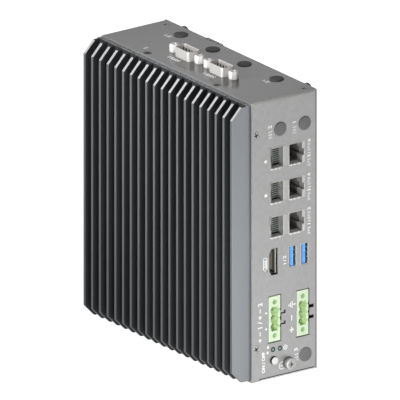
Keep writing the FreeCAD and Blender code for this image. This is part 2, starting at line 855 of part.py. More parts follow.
def serial_insert_piece(distance):
    """The dark moulding that carries the pins, with a body that stands on the main board."""
    under = housing_height - sheet
    long, wide, thick = serial_flange
    top = housing_height + serial_shell_height - serial_insert_drop
    fill = serial_outline(-serial_wall - 0.05, top - (under - thick), under - thick)
    reach_left = board_right - across(serial_across)
    half_body = serial_long / 2 + 1.5
    body = box((reach_left, -half_body, under - thick - serial_body_depth),
               (wide / 2, half_body, under - thick))
    insert = fill.fuse(body).removeSplitter()
    for x, y in serial_pin_places():
        insert = insert.cut(bar((x, y, under - thick - 2), Z_AXIS, serial_pin_radius, 30))
    return at_serial(insert, distance)


def serial_pin_places():
    places = [(serial_row_pitch / 2, (pin - 2) * serial_pin_pitch) for pin in range(5)]
    places += [(-serial_row_pitch / 2, (pin - 1.5) * serial_pin_pitch) for pin in range(4)]
    return places


def serial_pins(distance):
    bottom = housing_height - sheet - serial_flange[2] - 2
    top = housing_height + serial_shell_height - serial_insert_drop + serial_pin_height - 0.6
    return [at_serial(bar((x, y, bottom), Z_AXIS, serial_pin_radius, top - bottom), distance)
            for x, y in serial_pin_places()]


def serial_posts(distance):
    posts = []
    for side in (-1, 1):
        centre = (0, side * serial_post_spacing / 2, housing_height)
        post = bar(centre, Z_AXIS, serial_post_radius, serial_post_height)
        stud = bar(centre, -Z_AXIS, serial_stud_radius, sheet + serial_flange[2] + 2.0, hidden_faces)
        hole = rod((0, centre[1], housing_height + 0.5), Z_AXIS, serial_thread_radius, serial_post_height)
        posts.append(at_serial(post.fuse(stud).cut(hole).removeSplitter(), distance))
    return posts


# ---- rear nuts for a bracket ----
def bracket_nut(place):
    x, y, z = place
    inner = back - sheet
    nut = bar((x, inner, z), -Y_AXIS, bracket_nut_outer, bracket_nut_length)
    return nut.cut(rod((x, back + 1, z), -Y_AXIS, bracket_thread_radius, sheet + bracket_nut_length + 2))


# ---- boards and what they carry ----
def main_board():
    board = box((board_left, behind(sheet + board_front_gap), board_edge_gap),
                (board_right, back - board_back_gap, housing_height - board_edge_gap))
    for y, z in board_holes:
        hole = small_screw_radius + screw_hole_play
        board = board.cut(bar((board_left - 1, y, z), X_AXIS, hole, board_thickness + 2))
    return board


def standoff(y, z):
    pillar = bar((base_inner, y, z), X_AXIS, standoff_radius, board_standoff)
    hole = small_screw_radius + screw_hole_play
    return pillar.cut(bar((base_inner - 1, y, z), X_AXIS, hole, board_standoff + 2))


def board_screw(y, z):
    head = bar((board_right, y, z), X_AXIS, small_head_radius, 1.4, hidden_faces)
    shank_length = board_thickness + board_standoff + 2.5
    shank = bar((board_right, y, z), -X_AXIS, small_screw_radius, shank_length)
    return head.fuse(shank).removeSplitter()


data_board_right = across(data_centres[0]) - data_width / 2
data_board_left = data_board_right - board_thickness
power_board_right = across(inlet_centres[1][0]) - inlet_width / 2
power_board_left = power_board_right - board_thickness
riser_size = 5.0


def data_board():
    """A small board that carries the two data ports, one above the other."""
    z = below(data_drop)
    return box((data_board_left, behind(sheet + board_front_gap), z - data_height / 2 - 0.6),
               (data_board_right, behind(riser_back + 8.0), z + data_height / 2 + 0.6))


def data_spacer():
    """A plastic spacer between the two data ports, which stand one above the other."""
    z = below(data_drop)
    gap_left = across(data_centres[0]) + data_width / 2
    gap_right = across(data_centres[1]) - data_width / 2
    return box((gap_left, behind(sheet + 0.5), z - data_height / 2),
               (gap_right, behind(data_depth), z + data_height / 2))


def power_board():
    z = inlet_centres[1][1]
    return box((power_board_left, behind(sheet + board_front_gap), z - inlet_height / 2 - 4.0),
               (power_board_right, behind(riser_back + 8.0), z + inlet_height / 2))


def riser(right_face, z):
    """A board-to-board connector block."""
    return box((board_right, behind(riser_back), z - riser_size),
               (right_face, behind(riser_back + riser_size), z + riser_size))


def spreader_block():
    y, z = behind(processor_back), processor_up
    wide, tall, thick = spreader
    block = box((base_inner, y - wide / 2, z - tall / 2), (base_inner + thick, y + wide / 2, z + tall / 2))
    edges = [edge for edge in block.Edges if abs(edge.tangentAt(edge.FirstParameter).x) > 0.9]
    return block.makeChamfer(2.0, edges)


def thermal_pad():
    y, z = behind(processor_back), processor_up
    half_y, half_z = processor[0] / 2 - 4.0, processor[1] / 2 - 4.0
    start = base_inner + spreader[2]
    return box((start, y - half_y, z - half_z), (start + pad_thickness, y + half_y, z + half_z))


def processor_package():
    """A carrier with a raised die that meets the pad."""
    y, z = behind(processor_back), processor_up
    die_left = base_inner + spreader[2] + pad_thickness
    half_y, half_z = processor[0] / 2, processor[1] / 2
    carrier = box((board_left - 1.2, y - half_y, z - half_z), (board_left, y + half_y, z + half_z))
    die = box((die_left, y - half_y + 5.0, z - half_z + 5.0),
              (board_left, y + half_y - 5.0, z + half_z - 5.0))
    return carrier.fuse(die).removeSplitter()


memory_start = back - memory_back_gap - memory_length - 4.0
storage_start = back - storage_back_gap - storage_length - 2.2


def memory_socket():
    low = memory_up
    start = memory_start
    rail = box((board_right, start, low), (board_right + 5.2, start + memory_length + 4.0, low + 6.0))
    slot = box((board_right + 2.9, start + 1.9, low + 2.0),
               (board_right + 4.3, start + memory_length + 2.1, low + 7.0))
    arms = [box((board_right, start, low + 6.0), (board_right + 4.4, start + 1.6, low + 24.0)),
            box((board_right, start + memory_length + 2.4, low + 6.0),
                (board_right + 4.4, start + memory_length + 4.0, low + 24.0))]
    return rail.cut(slot).fuse(arms).removeSplitter()


def memory_module():
    low = memory_up + 2.0
    start = memory_start + 2.0
    blade = box((board_right + 3.0, start, low),
                (board_right + 4.2, start + memory_length, low + memory_width))
    chips = []
    for chip in range(4):
        y = start + 5.0 + chip * (memory_length - 10.0) / 4
        chips.append(box((board_right + 4.2, y, low + 9.0), (board_right + 5.2, y + 11.0, low + 20.0)))
    return blade.fuse(chips).removeSplitter()


def storage_socket():
    start = storage_start
    low = storage_up
    body = box((board_right, start, low), (board_right + 4.0, start + 6.0, low + storage_width))
    return body.cut(box((board_right + 1.9, start + 2.0, low - 1),
                        (board_right + 2.9, start + 7.0, low + storage_width + 1)))


def storage_module():
    start = storage_start + 2.2
    low = storage_up + 0.3
    high = storage_up + storage_width - 0.3
    blade = box((board_right + 2.0, start, low), (board_right + 2.8, start + storage_length, high))
    chips = [box((board_right + 2.8, start + 10.0 + 22.0 * chip, low + 4.0),
                 (board_right + 4.2, start + 26.0 + 22.0 * chip, high - 4.0)) for chip in range(3)]
    return blade.fuse(chips).removeSplitter()


def storage_post():
    start = storage_start + 2.2 + storage_length
    z = storage_up + storage_width / 2
    return bar((board_right, start - 2.5, z), X_AXIS, 2.0, 2.0)


def cell_holder():
    """A base with two clips that hold the cell by its rim."""
    y, z = behind(cell_front), below(cell_drop)
    base = box((board_right, y - cell_radius * 0.7, z - cell_radius - 1.4),
               (board_right + 1.0, y + cell_radius * 0.7, z + cell_radius + 1.4))
    clips = [box((board_right, y - 4.0, z + low), (board_right + 4.4, y + 4.0, z + low + 1.2))
             for low in (-cell_radius - 1.4, cell_radius + 0.2)]
    return base.fuse(clips).removeSplitter()


def coin_cell():
    centre = (board_right + 1.0, behind(cell_front), below(cell_drop))
    return bar(centre, X_AXIS, cell_radius, cell_height, 24)


def coil(distance, height):
    return box((board_right, behind(distance), height),
               (board_right + 4.0, behind(distance + 7.0), height + 7.0))


def capacitor(distance, height):
    return box((board_right, behind(distance), height),
               (board_right + 2.8, behind(distance + 4.3), height + 7.3))


parts = {
    "heat_sink": heat_sink(),
    "folded_shell": folded_shell(),
    "bottom_plate": bottom_plate(),
    "side_cover": side_cover(),
    "sink_screws": group([flat_screw(place, inward) for place, inward in sink_screws]),
    "tab_screws": group([flat_screw(place, inward, tab_screw_length) for place, inward in tab_screws]),
    "cover_screws": group([cover_screw(y, z) for y, z in cover_screws]),
    "bracket_nuts": group([bracket_nut(place) for place in bracket_places()]),
    "antenna_plugs": group([antenna_plug(place, Y_AXIS) for place in front_plugs]
                           + [antenna_plug(place, -Z_AXIS) for place in top_plugs]),
    "network_contacts": group([wire for drop in jack_drops for port in (left_port, right_port)
                               for wire in jack_contacts(drop, port)]),
    "video_shell": video_shell(),
    "video_tongue": video_tongue_piece(),
    "inlet_pins": group([pin for place in inlet_centres for pin in inlet_pins(place)]),
    "inlet_nuts": group([nut for place in inlet_centres for nut in inlet_nuts(place)]),
    "status_lights": group([light_pipe(place) for place in light_places]),
    "light_carrier": light_carrier(),
    "power_button": power_button_piece(),
    "power_switch": power_switch_piece(),
    "earth_screw": earth_screw_piece(),
    "earth_washer": earth_washer_piece(),
    "earth_nut": earth_nut_piece(),
    "serial_pins": group([pin for distance in serial_backs for pin in serial_pins(distance)]),
    "serial_posts": group([post for distance in serial_backs for post in serial_posts(distance)]),
    "main_board": main_board(),
    "standoffs": group([standoff(y, z) for y, z in board_holes]),
    "board_screws": group([board_screw(y, z) for y, z in board_holes]),
    "data_board": data_board(),
    "data_spacer": data_spacer(),
    "data_riser": riser(data_board_left, below(data_drop)),
    "power_board": power_board(),
    "power_riser": riser(power_board_left, inlet_centres[1][1]),
    "spreader_block": spreader_block(),
    "thermal_pad": thermal_pad(),
    "processor": processor_package(),
    "memory_socket": memory_socket(),
    "memory_module": memory_module(),
    "storage_socket": storage_socket(),
    "storage_module": storage_module(),
    "storage_post": storage_post(),
    "cell_holder": cell_holder(),
    "coin_cell": coin_cell(),
    "coils": group([coil(44.0 + 10.0 * step, below(coil_drop)) for step in range(4)]),
    "capacitors": group([capacitor(90.0 + 9.0 * step, below(capacitor_drop)) for step in range(4)]),
}
for number, drop in enumerate(jack_drops, 1):
    parts["network_shield_" + str(number)] = jack_shield(drop)
    parts["network_insert_" + str(number)] = jack_insert(drop)
for number, centre in enumerate(data_centres, 1):
    parts["data_shell_" + str(number)] = data_shell(centre)
    parts["data_tongue_" + str(number)] = data_tongue_piece(centre)
for number, place in enumerate(inlet_centres, 1):
    parts["power_inlet_" + str(number)] = inlet_body(place)
for number, distance in enumerate(serial_backs, 1):
    parts["serial_shell_" + str(number)] = serial_shell_piece(distance)
    parts["serial_insert_" + str(number)] = serial_insert_piece(distance)

os.makedirs("parts", exist_ok=True)
for node, shape in parts.items():
    shape.exportStep("parts/" + node + ".step")
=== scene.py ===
import math
import bmesh
import bpy
from mathutils import Matrix, Vector


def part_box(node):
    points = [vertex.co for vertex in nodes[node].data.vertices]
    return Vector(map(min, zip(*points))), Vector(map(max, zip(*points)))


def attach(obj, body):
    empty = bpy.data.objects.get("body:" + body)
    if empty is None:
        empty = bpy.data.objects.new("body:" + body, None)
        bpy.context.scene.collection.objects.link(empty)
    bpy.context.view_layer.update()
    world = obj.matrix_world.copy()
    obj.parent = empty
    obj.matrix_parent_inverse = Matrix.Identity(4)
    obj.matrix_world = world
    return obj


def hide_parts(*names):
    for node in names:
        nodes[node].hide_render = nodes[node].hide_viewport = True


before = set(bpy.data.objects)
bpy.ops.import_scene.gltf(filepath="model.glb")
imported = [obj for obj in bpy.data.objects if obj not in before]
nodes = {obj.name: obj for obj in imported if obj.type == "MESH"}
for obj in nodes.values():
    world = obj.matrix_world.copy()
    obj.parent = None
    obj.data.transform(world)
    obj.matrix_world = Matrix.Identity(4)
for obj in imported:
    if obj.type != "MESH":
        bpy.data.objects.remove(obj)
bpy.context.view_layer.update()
mm = 0.001

# the housing, in mm: the panel faces -Y, the fins face -X, the base is at z = 0
house = {"left": -17.0, "right": 30.0, "front": -75.0, "back": 75.0, "top": 172.0}
panelY, topZ = house["front"], house["top"]


def across(distance):
    return house["left"] + distance


def below(drop):
    return topZ - drop


def behind(distance):
    return panelY + distance


print("frame loaded:", len(nodes), "nodes")


def addNode(tree, kind, place=(0, 0), **values):
    node = tree.nodes.new(kind)
    node.location = place
    for key, value in values.items():
        setattr(node, key, value)
    return node


def join(tree, *pairs):
    for source, output, target, entry in pairs:
        tree.links.new(source.outputs[output], target.inputs[entry])


def newMaterial(name, colour, roughness, metallic=0.0, level=0.5):
    material = bpy.data.materials.new(name)
    material.use_nodes = True
    shader = material.node_tree.nodes["Principled BSDF"]
    shader.inputs["Base Color"].default_value = (*colour, 1)
    shader.inputs["Roughness"].default_value = roughness
    shader.inputs["Metallic"].default_value = metallic
    shader.inputs["Specular IOR Level"].default_value = level
    return material, material.node_tree, shader


def noiseOn(tree, scale, detail, stretch):
    place = addNode(tree, "ShaderNodeTexCoord", (-1100, 0))
    mapping = addNode(tree, "ShaderNodeMapping", (-900, 0))
    mapping.inputs["Scale"].default_value = stretch
    noise = addNode(tree, "ShaderNodeTexNoise", (-700, 0))
    noise.inputs["Scale"].default_value = scale
    noise.inputs["Detail"].default_value = detail
    join(tree, (place, "Object", mapping, "Vector"), (mapping, "Vector", noise, "Vector"))
    return noise


def finish(name, colour, roughness, metallic=0.0, level=0.5, spread=0.06, scale=900, grain=4000,
           depth=0.00001, stretch=(1, 1, 1), low=None, start=0.3, end=0.7, sway=0.06):
    # a cloud varies the colour and the roughness, and a fine grain raises bumps of a depth in metres
    material, tree, shader = newMaterial(name, colour, roughness, metallic, level)
    cloud = noiseOn(tree, scale, 3.0, stretch)
    low = low or tuple(part * (1 - spread) for part in colour)
    high = tuple(min(1.0, part * (1 + spread)) for part in colour)
    ramp = addNode(tree, "ShaderNodeValToRGB", (-450, 100))
    for element, position, shade in zip(ramp.color_ramp.elements, (start, end), (low, high)):
        element.position = position
        element.color = (*shade, 1)
    rough = addNode(tree, "ShaderNodeMapRange", (-450, -120))
    rough.inputs["To Min"].default_value = max(0.02, roughness - sway)
    rough.inputs["To Max"].default_value = min(1.0, roughness + sway)
    join(tree, (cloud, "Fac", ramp, "Fac"), (ramp, "Color", shader, "Base Color"),
         (cloud, "Fac", rough, "Value"), (rough, "Result", shader, "Roughness"))
    if depth:
        fine = noiseOn(tree, grain, 2.0, stretch)
        bump = addNode(tree, "ShaderNodeBump", (-250, -300))
        bump.inputs["Distance"].default_value = depth
        join(tree, (fine, "Fac", bump, "Height"), (bump, "Normal", shader, "Normal"))
    return material


paint = {
    "shell": finish("shellPaint", (0.37, 0.37, 0.368), 0.29, 0.45, spread=0.05, scale=350, depth=0,
                    sway=0.01),
    # the top face of the same sheet in a darker copy of its paint: painted shade
    "shellTop": finish("shellTopPaint", (0.15, 0.15, 0.149), 0.2, 0.45, spread=0.05, scale=350, depth=0,
                       sway=0.01),
    "cover": finish("coverPaint", (0.34, 0.34, 0.345), 0.45, 0.0, 0.4, spread=0.04, scale=60, grain=3500,
                    depth=0.000015),
    # the fins' walls and the valley floors: partly a dark coat, partly painted shade
    "sinkWall": finish("sinkWallCoat", (0.036, 0.038, 0.042), 0.6, 0.0, 0.25, spread=0.2, scale=120,
                       grain=2600, stretch=(1, 1, 0.04)),
    "sinkFace": finish("sinkFaceCoat", (0.26, 0.272, 0.29), 0.42, 0.4, 0.4, spread=0.05, scale=80,
                       grain=2600, stretch=(1, 1, 0.03)),
    "sinkTip": finish("sinkTipCoat", (0.118, 0.122, 0.129), 0.5, 0.0, 0.3, scale=300, grain=2600,
                      stretch=(1, 1, 0.1)),
    "sinkCut": finish("sinkCutMetal", (0.56, 0.56, 0.57), 0.45, 0.3, spread=0.05, scale=300, grain=2600),
    "sinkBase": finish("sinkBaseCoat", (0.36, 0.37, 0.38), 0.6, 0.2, 0.3, spread=0.15, scale=700,
                       grain=2000, depth=0.00004, low=(0.06, 0.062, 0.066), start=0.36, end=0.64),
    "screwHead": finish("screwHeadZinc", (0.40, 0.40, 0.395), 0.48, 0.2),
    "recess": finish("recessShade", (0.03, 0.03, 0.03), 0.6, 0.0, 0.2, spread=0.2),
    "bridge": finish("jackBridge", (0.46, 0.455, 0.44), 0.4, 0.2, 0.4),
    "shoulder": finish("jackShoulder", (0.15, 0.155, 0.15), 0.5, 0.0, 0.3, spread=0.2, scale=700),
    "videoWall": finish("videoWall", (0.13, 0.12, 0.105), 0.5, 0.2, 0.3, spread=0.2),
    "videoRim": finish("videoRim", (0.06, 0.058, 0.054), 0.5, 0.3, 0.3, spread=0.2),
    "dataRim": finish("dataRim", (0.72, 0.72, 0.73), 0.4, 0.2, 0.4),
    "blueMiddle": finish("blueMiddle", (0.14, 0.42, 0.92), 0.35, spread=0.15, scale=500),
    "bluePale": finish("bluePale", (0.30, 0.62, 0.99), 0.35, spread=0.15, scale=500),
    "headerHole": finish("headerHoleGreen", (0.26, 0.43, 0.17), 0.5, 0.0, 0.4, spread=0.15, scale=420),
    # the tray's front edge; on the earth screw's rim a painted highlight, on the serial posts' tops painted
    # shade
    "trayEdge": finish("trayEdge", (0.62, 0.62, 0.61), 0.4, 0.2, spread=0.05, scale=300),
    # the header's tin pins in a dark olive: painted shade and a painted green reflection
    "pin": finish("pinTin", (0.26, 0.32, 0.20), 0.45, 0.4, 0.4, spread=0.1),
    "zinc": finish("zincScrew", (0.45, 0.45, 0.44), 0.38, 0.8, spread=0.08),
    # dark steel for the cover screws; on the top screws and the serial pins it is painted shade
    "darkSteel": finish("topScrewSteel", (0.12, 0.12, 0.12), 0.45, 0.6, spread=0.08),
    "steel": finish("plainSteel", (0.55, 0.55, 0.55), 0.38, 1.0),
    "collar": finish("darkCollar", (0.14, 0.14, 0.14), 0.5, 0.4, spread=0.15),
    "nickel": finish("brightNickel", (0.63, 0.617, 0.6), 0.42, 0.3, spread=0.04, scale=500),
    "post": finish("postPlate", (0.95, 0.935, 0.915), 0.5, spread=0.04, scale=500),
    "can": finish("jackPlate", (0.74, 0.735, 0.72), 0.42, 0.2, grain=3000, depth=0.00002),
    "canInner": finish("jackInnerPlate", (0.42, 0.415, 0.405), 0.45, 0.2, spread=0.2, scale=500),
    "spring": finish("springPlate", (0.62, 0.61, 0.59), 0.4, 0.2, spread=0.08),
    "lump": finish("springLump", (0.78, 0.77, 0.75), 0.35, 0.2, spread=0.05),
    "wire": finish("contactWire", (0.23, 0.25, 0.23), 0.4, 0.3),
    "gold": finish("contactPlate", (0.86, 0.66, 0.32), 0.28, 1.0, spread=0.05),
    "plug": finish("plugRubber", (0.178, 0.178, 0.18), 0.7, 0.0, 0.25, grain=6000),
    "plugDark": finish("topPlugRubber", (0.085, 0.085, 0.084), 0.7, 0.0, 0.2, grain=6000),
    # a paler grey for the sheet's cut edge beside the fins: painted highlight
    "sheetEdge": finish("sheetEdge", (0.45, 0.45, 0.45), 0.45, 0.3, 0.4, spread=0.12, scale=500),
    # a paler copy of the shell paint on the bend: painted highlight
    "bend": finish("bendPaint", (0.55, 0.55, 0.535), 0.35, 0.35, spread=0.05, scale=350),
    "black": finish("blackMoulding", (0.02, 0.02, 0.02), 0.55, 0.0, 0.4, spread=0.1),
    "jackBody": finish("jackMoulding", (0.04, 0.042, 0.04), 0.45, spread=0.3, scale=500),
    "jackPale": finish("jackPaleMoulding", (0.17, 0.168, 0.162), 0.45, spread=0.3, scale=450,
                       low=(0.07, 0.068, 0.065)),
    "brown": finish("brownMoulding", (0.11, 0.095, 0.08), 0.5, 0.0, 0.4, spread=0.15),
    "serialBody": finish("serialMoulding", (0.62, 0.59, 0.54), 0.5, 0.0, 0.4, spread=0.1),
    "blue": finish("blueMoulding", (0.10, 0.35, 0.85), 0.35, spread=0.12, scale=600),
    "headerFace": finish("headerPaleGreen", (0.68, 0.82, 0.60), 0.45, 0.0, 0.4, spread=0.02, scale=500),
    "headerWell": finish("headerWellGreen", (0.70, 0.92, 0.50), 0.5, 0.0, 0.4, spread=0.12, scale=420),
    "lensRing": finish("lensRing", (0.015, 0.05, 0.05), 0.35, spread=0.1),
    "lens": finish("lightLens", (0.22, 0.30, 0.28), 0.2, 0.0, 0.6, spread=0.1),
    "white": finish("buttonWhite", (0.74, 0.74, 0.725), 0.35, spread=0.02),
    "ink": finish("whiteInk", (0.92, 0.92, 0.92), 0.5, 0.0, 0.3, spread=0.05, scale=2500, depth=0),
    "board": finish("boardGreen", (0.02, 0.16, 0.07), 0.4, spread=0.3, scale=500),
    "chip": finish("chipBlack", (0.03, 0.03, 0.03), 0.45, spread=0.2),
    "block": finish("machinedBlock", (0.75, 0.74, 0.72), 0.35, 1.0, scale=300),
    "pad": finish("softPad", (0.50, 0.52, 0.56), 0.8, 0.0, 0.3, spread=0.05),
}

# the finish of each node, or of a family of numbered nodes
wearers = {
    "sinkFace": ("heat_sink",),
    "shell": ("folded_shell",),
    "cover": ("bottom_plate", "side_cover"),
    "zinc": ("sink_screws", "tab_screws", "cover_screws", "earth_screw", "board_screws"),
    "steel": ("bracket_nuts", "inlet_nuts", "earth_nut", "standoffs", "storage_post", "coin_cell",
              "capacitors"),
    "plug": ("antenna_plugs",),
    "wire": ("network_contacts",),
    "nickel": ("video_shell", "serial_posts", "data_shell", "serial_shell"),
    "brown": ("video_tongue",),
    "pin": ("inlet_pins",),
    "lens": ("status_lights",),
    "black": ("light_carrier", "power_switch", "data_spacer", "data_riser", "power_riser",
              "memory_socket", "storage_socket", "cell_holder"),
    "white": ("power_button",),
    "collar": ("earth_washer",),
    "gold": ("serial_pins",),
    "board": ("main_board", "data_board", "power_board", "memory_module", "storage_module"),
    "block": ("spreader_block",),
    "pad": ("thermal_pad",),
    "chip": ("processor", "coils"),
    "can": ("network_shield",),
    "jackBody": ("network_insert",),
    "blue": ("data_tongue",),
    "headerFace": ("power_inlet",),
    "serialBody": ("serial_insert",),
}
plainFinish = {name: key for key, names in wearers.items() for name in names}

for nodeName, piece in nodes.items():
    family = nodeName.rstrip("0123456789").rstrip("_")
    piece.data.materials.clear()
    piece.data.materials.append(paint[plainFinish.get(nodeName) or plainFinish[family]])
print("finishes set")


def linked(name, mesh):
    piece = bpy.data.objects.new(name, mesh)
    bpy.context.scene.collection.objects.link(piece)
    return piece


def settled(piece):
    # the modifiers' result becomes the piece's own plain mesh
    bpy.context.view_layer.update()
    graph = bpy.context.evaluated_depsgraph_get()
    mesh = bpy.data.meshes.new_from_object(piece.evaluated_get(graph))
    piece.modifiers.clear()
    old = piece.data
    piece.data = mesh
    mesh.name = piece.name
    if old.users == 0:
        bpy.data.meshes.remove(old)
    return piece


def asPiece(name, bm, keys):
    mesh = bpy.data.meshes.new(name)
    bm.to_mesh(mesh)
    bm.free()
    for key in keys:
        mesh.materials.append(paint[key])
    return linked(name, mesh)


def meshPiece(name, bm, *keys, smooth=True):
    bmesh.ops.recalc_face_normals(bm, faces=bm.faces)
    for face in bm.faces:
        face.smooth = smooth
    return asPiece(name, bm, keys)


def keptFlat(piece):
    # broad faces square to an axis keep their own normal, so that no streak runs across them
    mesh = piece.data
    normals = [Vector(corner.vector) for corner in mesh.corner_normals]
    for face in mesh.polygons:
        if face.area > 2 * mm * mm and max(abs(part) for part in face.normal) > 0.9999:
            for i in face.loop_indices:
                normals[i] = face.normal.copy()
    mesh.normals_split_custom_set([tuple(normal) for normal in normals])
    return piece


def softened(piece, width, segments=2):
    bevel = piece.modifiers.new("edges", "BEVEL")
    bevel.width = width * mm
    bevel.segments = segments
    bevel.limit_method = "ANGLE"
    bevel.angle_limit = math.radians(30)
    bevel.harden_normals = True
    bevel.use_clamp_overlap = True
    return keptFlat(settled(piece))


def cadCopy(name, nodeName, key):
    bm = bmesh.new()
    bm.from_mesh(nodes[nodeName].data)
    bmesh.ops.remove_doubles(bm, verts=bm.verts, dist=0.001 * mm)
    bmesh.ops.dissolve_limit(bm, angle_limit=math.radians(0.5), verts=bm.verts, edges=bm.edges)
    for face in bm.faces:
        face.smooth = True
        face.material_index = 0
    return asPiece(name, bm, [key])


def cadPiece(name, nodeName, key, width, segments=2):
    # a copy of a node with its edges softened by a width in mm
    return softened(cadCopy(name, nodeName, key), width, segments)


def sliced(piece, places, axis=0):
    # cuts across broad faces at places in mm along an axis, so that the parts can take other finishes
    bm = bmesh.new()
    bm.from_mesh(piece.data)
    for place in places:
        at, along = Vector((0, 0, 0)), Vector((0, 0, 0))
        at[axis], along[axis] = place * mm, 1
        whole = bm.verts[:] + bm.edges[:] + bm.faces[:]
        bmesh.ops.bisect_plane(bm, geom=whole, dist=1e-6, plane_co=at, plane_no=along)
    bm.to_mesh(piece.data)
    bm.free()
    return piece


def repainted(piece, key, chosen):
    # the faces that pass the test, given a middle in mm and an outward direction, take another finish
    slot = len(piece.data.materials)
    piece.data.materials.append(paint[key])
    for face in piece.data.polygons:
        if chosen(face.center / mm, face.normal):
            face.material_index = slot
    return piece


def carried(piece, *replaced, body="case"):
    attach(piece, body)
    if replaced:
        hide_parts(*replaced)
    return piece


def boxOf(nodeName):
    # the low and high corners of a node, in mm
    return [Vector(corner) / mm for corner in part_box(nodeName)]


def addBlock(bm, low, high):
    corners = [bm.verts.new((x * mm, y * mm, z * mm)) for x in (low[0], high[0])
               for y in (low[1], high[1]) for z in (low[2], high[2])]
    for ring in ((0, 1, 3, 2), (4, 6, 7, 5), (0, 4, 5, 1), (2, 3, 7, 6), (0, 2, 6, 4), (1, 5, 7, 3)):
        bm.faces.new([corners[i] for i in ring])


def blocks(name, pairs, *keys):
    # square blocks, each between a low and a high corner in mm
    bm = bmesh.new()
    for low, high in pairs:
        addBlock(bm, low, high)
    return meshPiece(name, bm, *keys, smooth=False)


def turned(name, profile, sides, *keys, close=True):
    # a profile of (radius, height) pairs in mm, turned about Z
    bm = bmesh.new()
    rings = []
    for radius, height in profile:
        if radius < 1e-6:
            rings.append([bm.verts.new((0, 0, height * mm))])
        else:
            rings.append([bm.verts.new((radius * mm * math.cos(2 * math.pi * i / sides),
                                        radius * mm * math.sin(2 * math.pi * i / sides), height * mm))
                          for i in range(sides)])
    for low, high in zip(rings, rings[1:]):
        for i in range(sides):
            j = (i + 1) % sides
            if len(low) == 1:
                bm.faces.new((low[0], high[i], high[j]))
            elif len(high) == 1:
                bm.faces.new((low[i], low[j], high[0]))
            else:
                bm.faces.new((low[i], low[j], high[j], high[i]))
    if close:
        for ring in (rings[0], rings[-1]):
            if len(ring) > 1:
                bm.faces.new(ring)
    return meshPiece(name, bm, *keys)


def addLoops(bm, loops, ring=False):
    # a skin through outlines in mm with as many points each: shut at both ends, or joined into a ring
    rows = [[bm.verts.new(Vector(point) * mm) for point in loop] for loop in loops]
    count = len(rows[0])
    for low, high in zip(rows, rows[1:] + rows[:1] if ring else rows[1:]):
        for i in range(count):
            j = (i + 1) % count
            bm.faces.new((low[i], low[j], high[j], high[i]))
    if not ring:
        bm.faces.new(rows[0])
        bm.faces.new(rows[-1])


def newTree(name, sockets):
    tree = bpy.data.node_groups.new(name, "GeometryNodeTree")
    tree.interface.new_socket("Geometry", in_out="INPUT", socket_type="NodeSocketGeometry")
    for label, kind, value in sockets:
        socket = tree.interface.new_socket(label, in_out="INPUT", socket_type="NodeSocket" + kind)
        if value is not None:
            socket.default_value = value
    tree.interface.new_socket("Geometry", in_out="OUTPUT", socket_type="NodeSocketGeometry")
    start = addNode(tree, "NodeGroupInput", (-900, 0))
    end = addNode(tree, "NodeGroupOutput", (900, 0))
    return tree, start, end


def copiesTree():
    # a template on every point, turned as the point says, then spun about its own axis by chance
    tree, start, end = newTree("copiesOnPoints", [
        ("Piece", "Object", None), ("Size", "Float", 1.0), ("Spin", "Float", 0.0), ("Seed", "Int", 7),
        ("Finish", "Material", None)])
    source = addNode(tree, "GeometryNodeObjectInfo", (-600, -200))
    facing = addNode(tree, "GeometryNodeInputNamedAttribute", (-600, 200), data_type="FLOAT_VECTOR")
    facing.inputs["Name"].default_value = "facing"
    place = addNode(tree, "GeometryNodeInstanceOnPoints", (-300, 0))
    chance = addNode(tree, "FunctionNodeRandomValue", (-300, -350), data_type="FLOAT")
    turn = addNode(tree, "ShaderNodeCombineXYZ", (-100, -350))
    spin = addNode(tree, "GeometryNodeRotateInstances", (60, 0))
    spin.inputs["Local Space"].default_value = True
    real = addNode(tree, "GeometryNodeRealizeInstances", (300, 0))
    coat = addNode(tree, "GeometryNodeSetMaterial", (600, 0))
    join(tree, (start, "Piece", source, "Object"), (start, "Geometry", place, "Points"),
         (source, "Geometry", place, "Instance"), (facing, "Attribute", place, "Rotation"),
         (start, "Size", place, "Scale"), (start, "Spin", chance, "Max"), (start, "Seed", chance, "Seed"),
         (chance, "Value", turn, "Z"), (place, "Instances", spin, "Instances"),
         (turn, "Vector", spin, "Rotation"), (spin, "Instances", real, "Geometry"),
         (real, "Geometry", coat, "Geometry"), (start, "Finish", coat, "Material"),
         (coat, "Geometry", end, "Geometry"))
    return tree


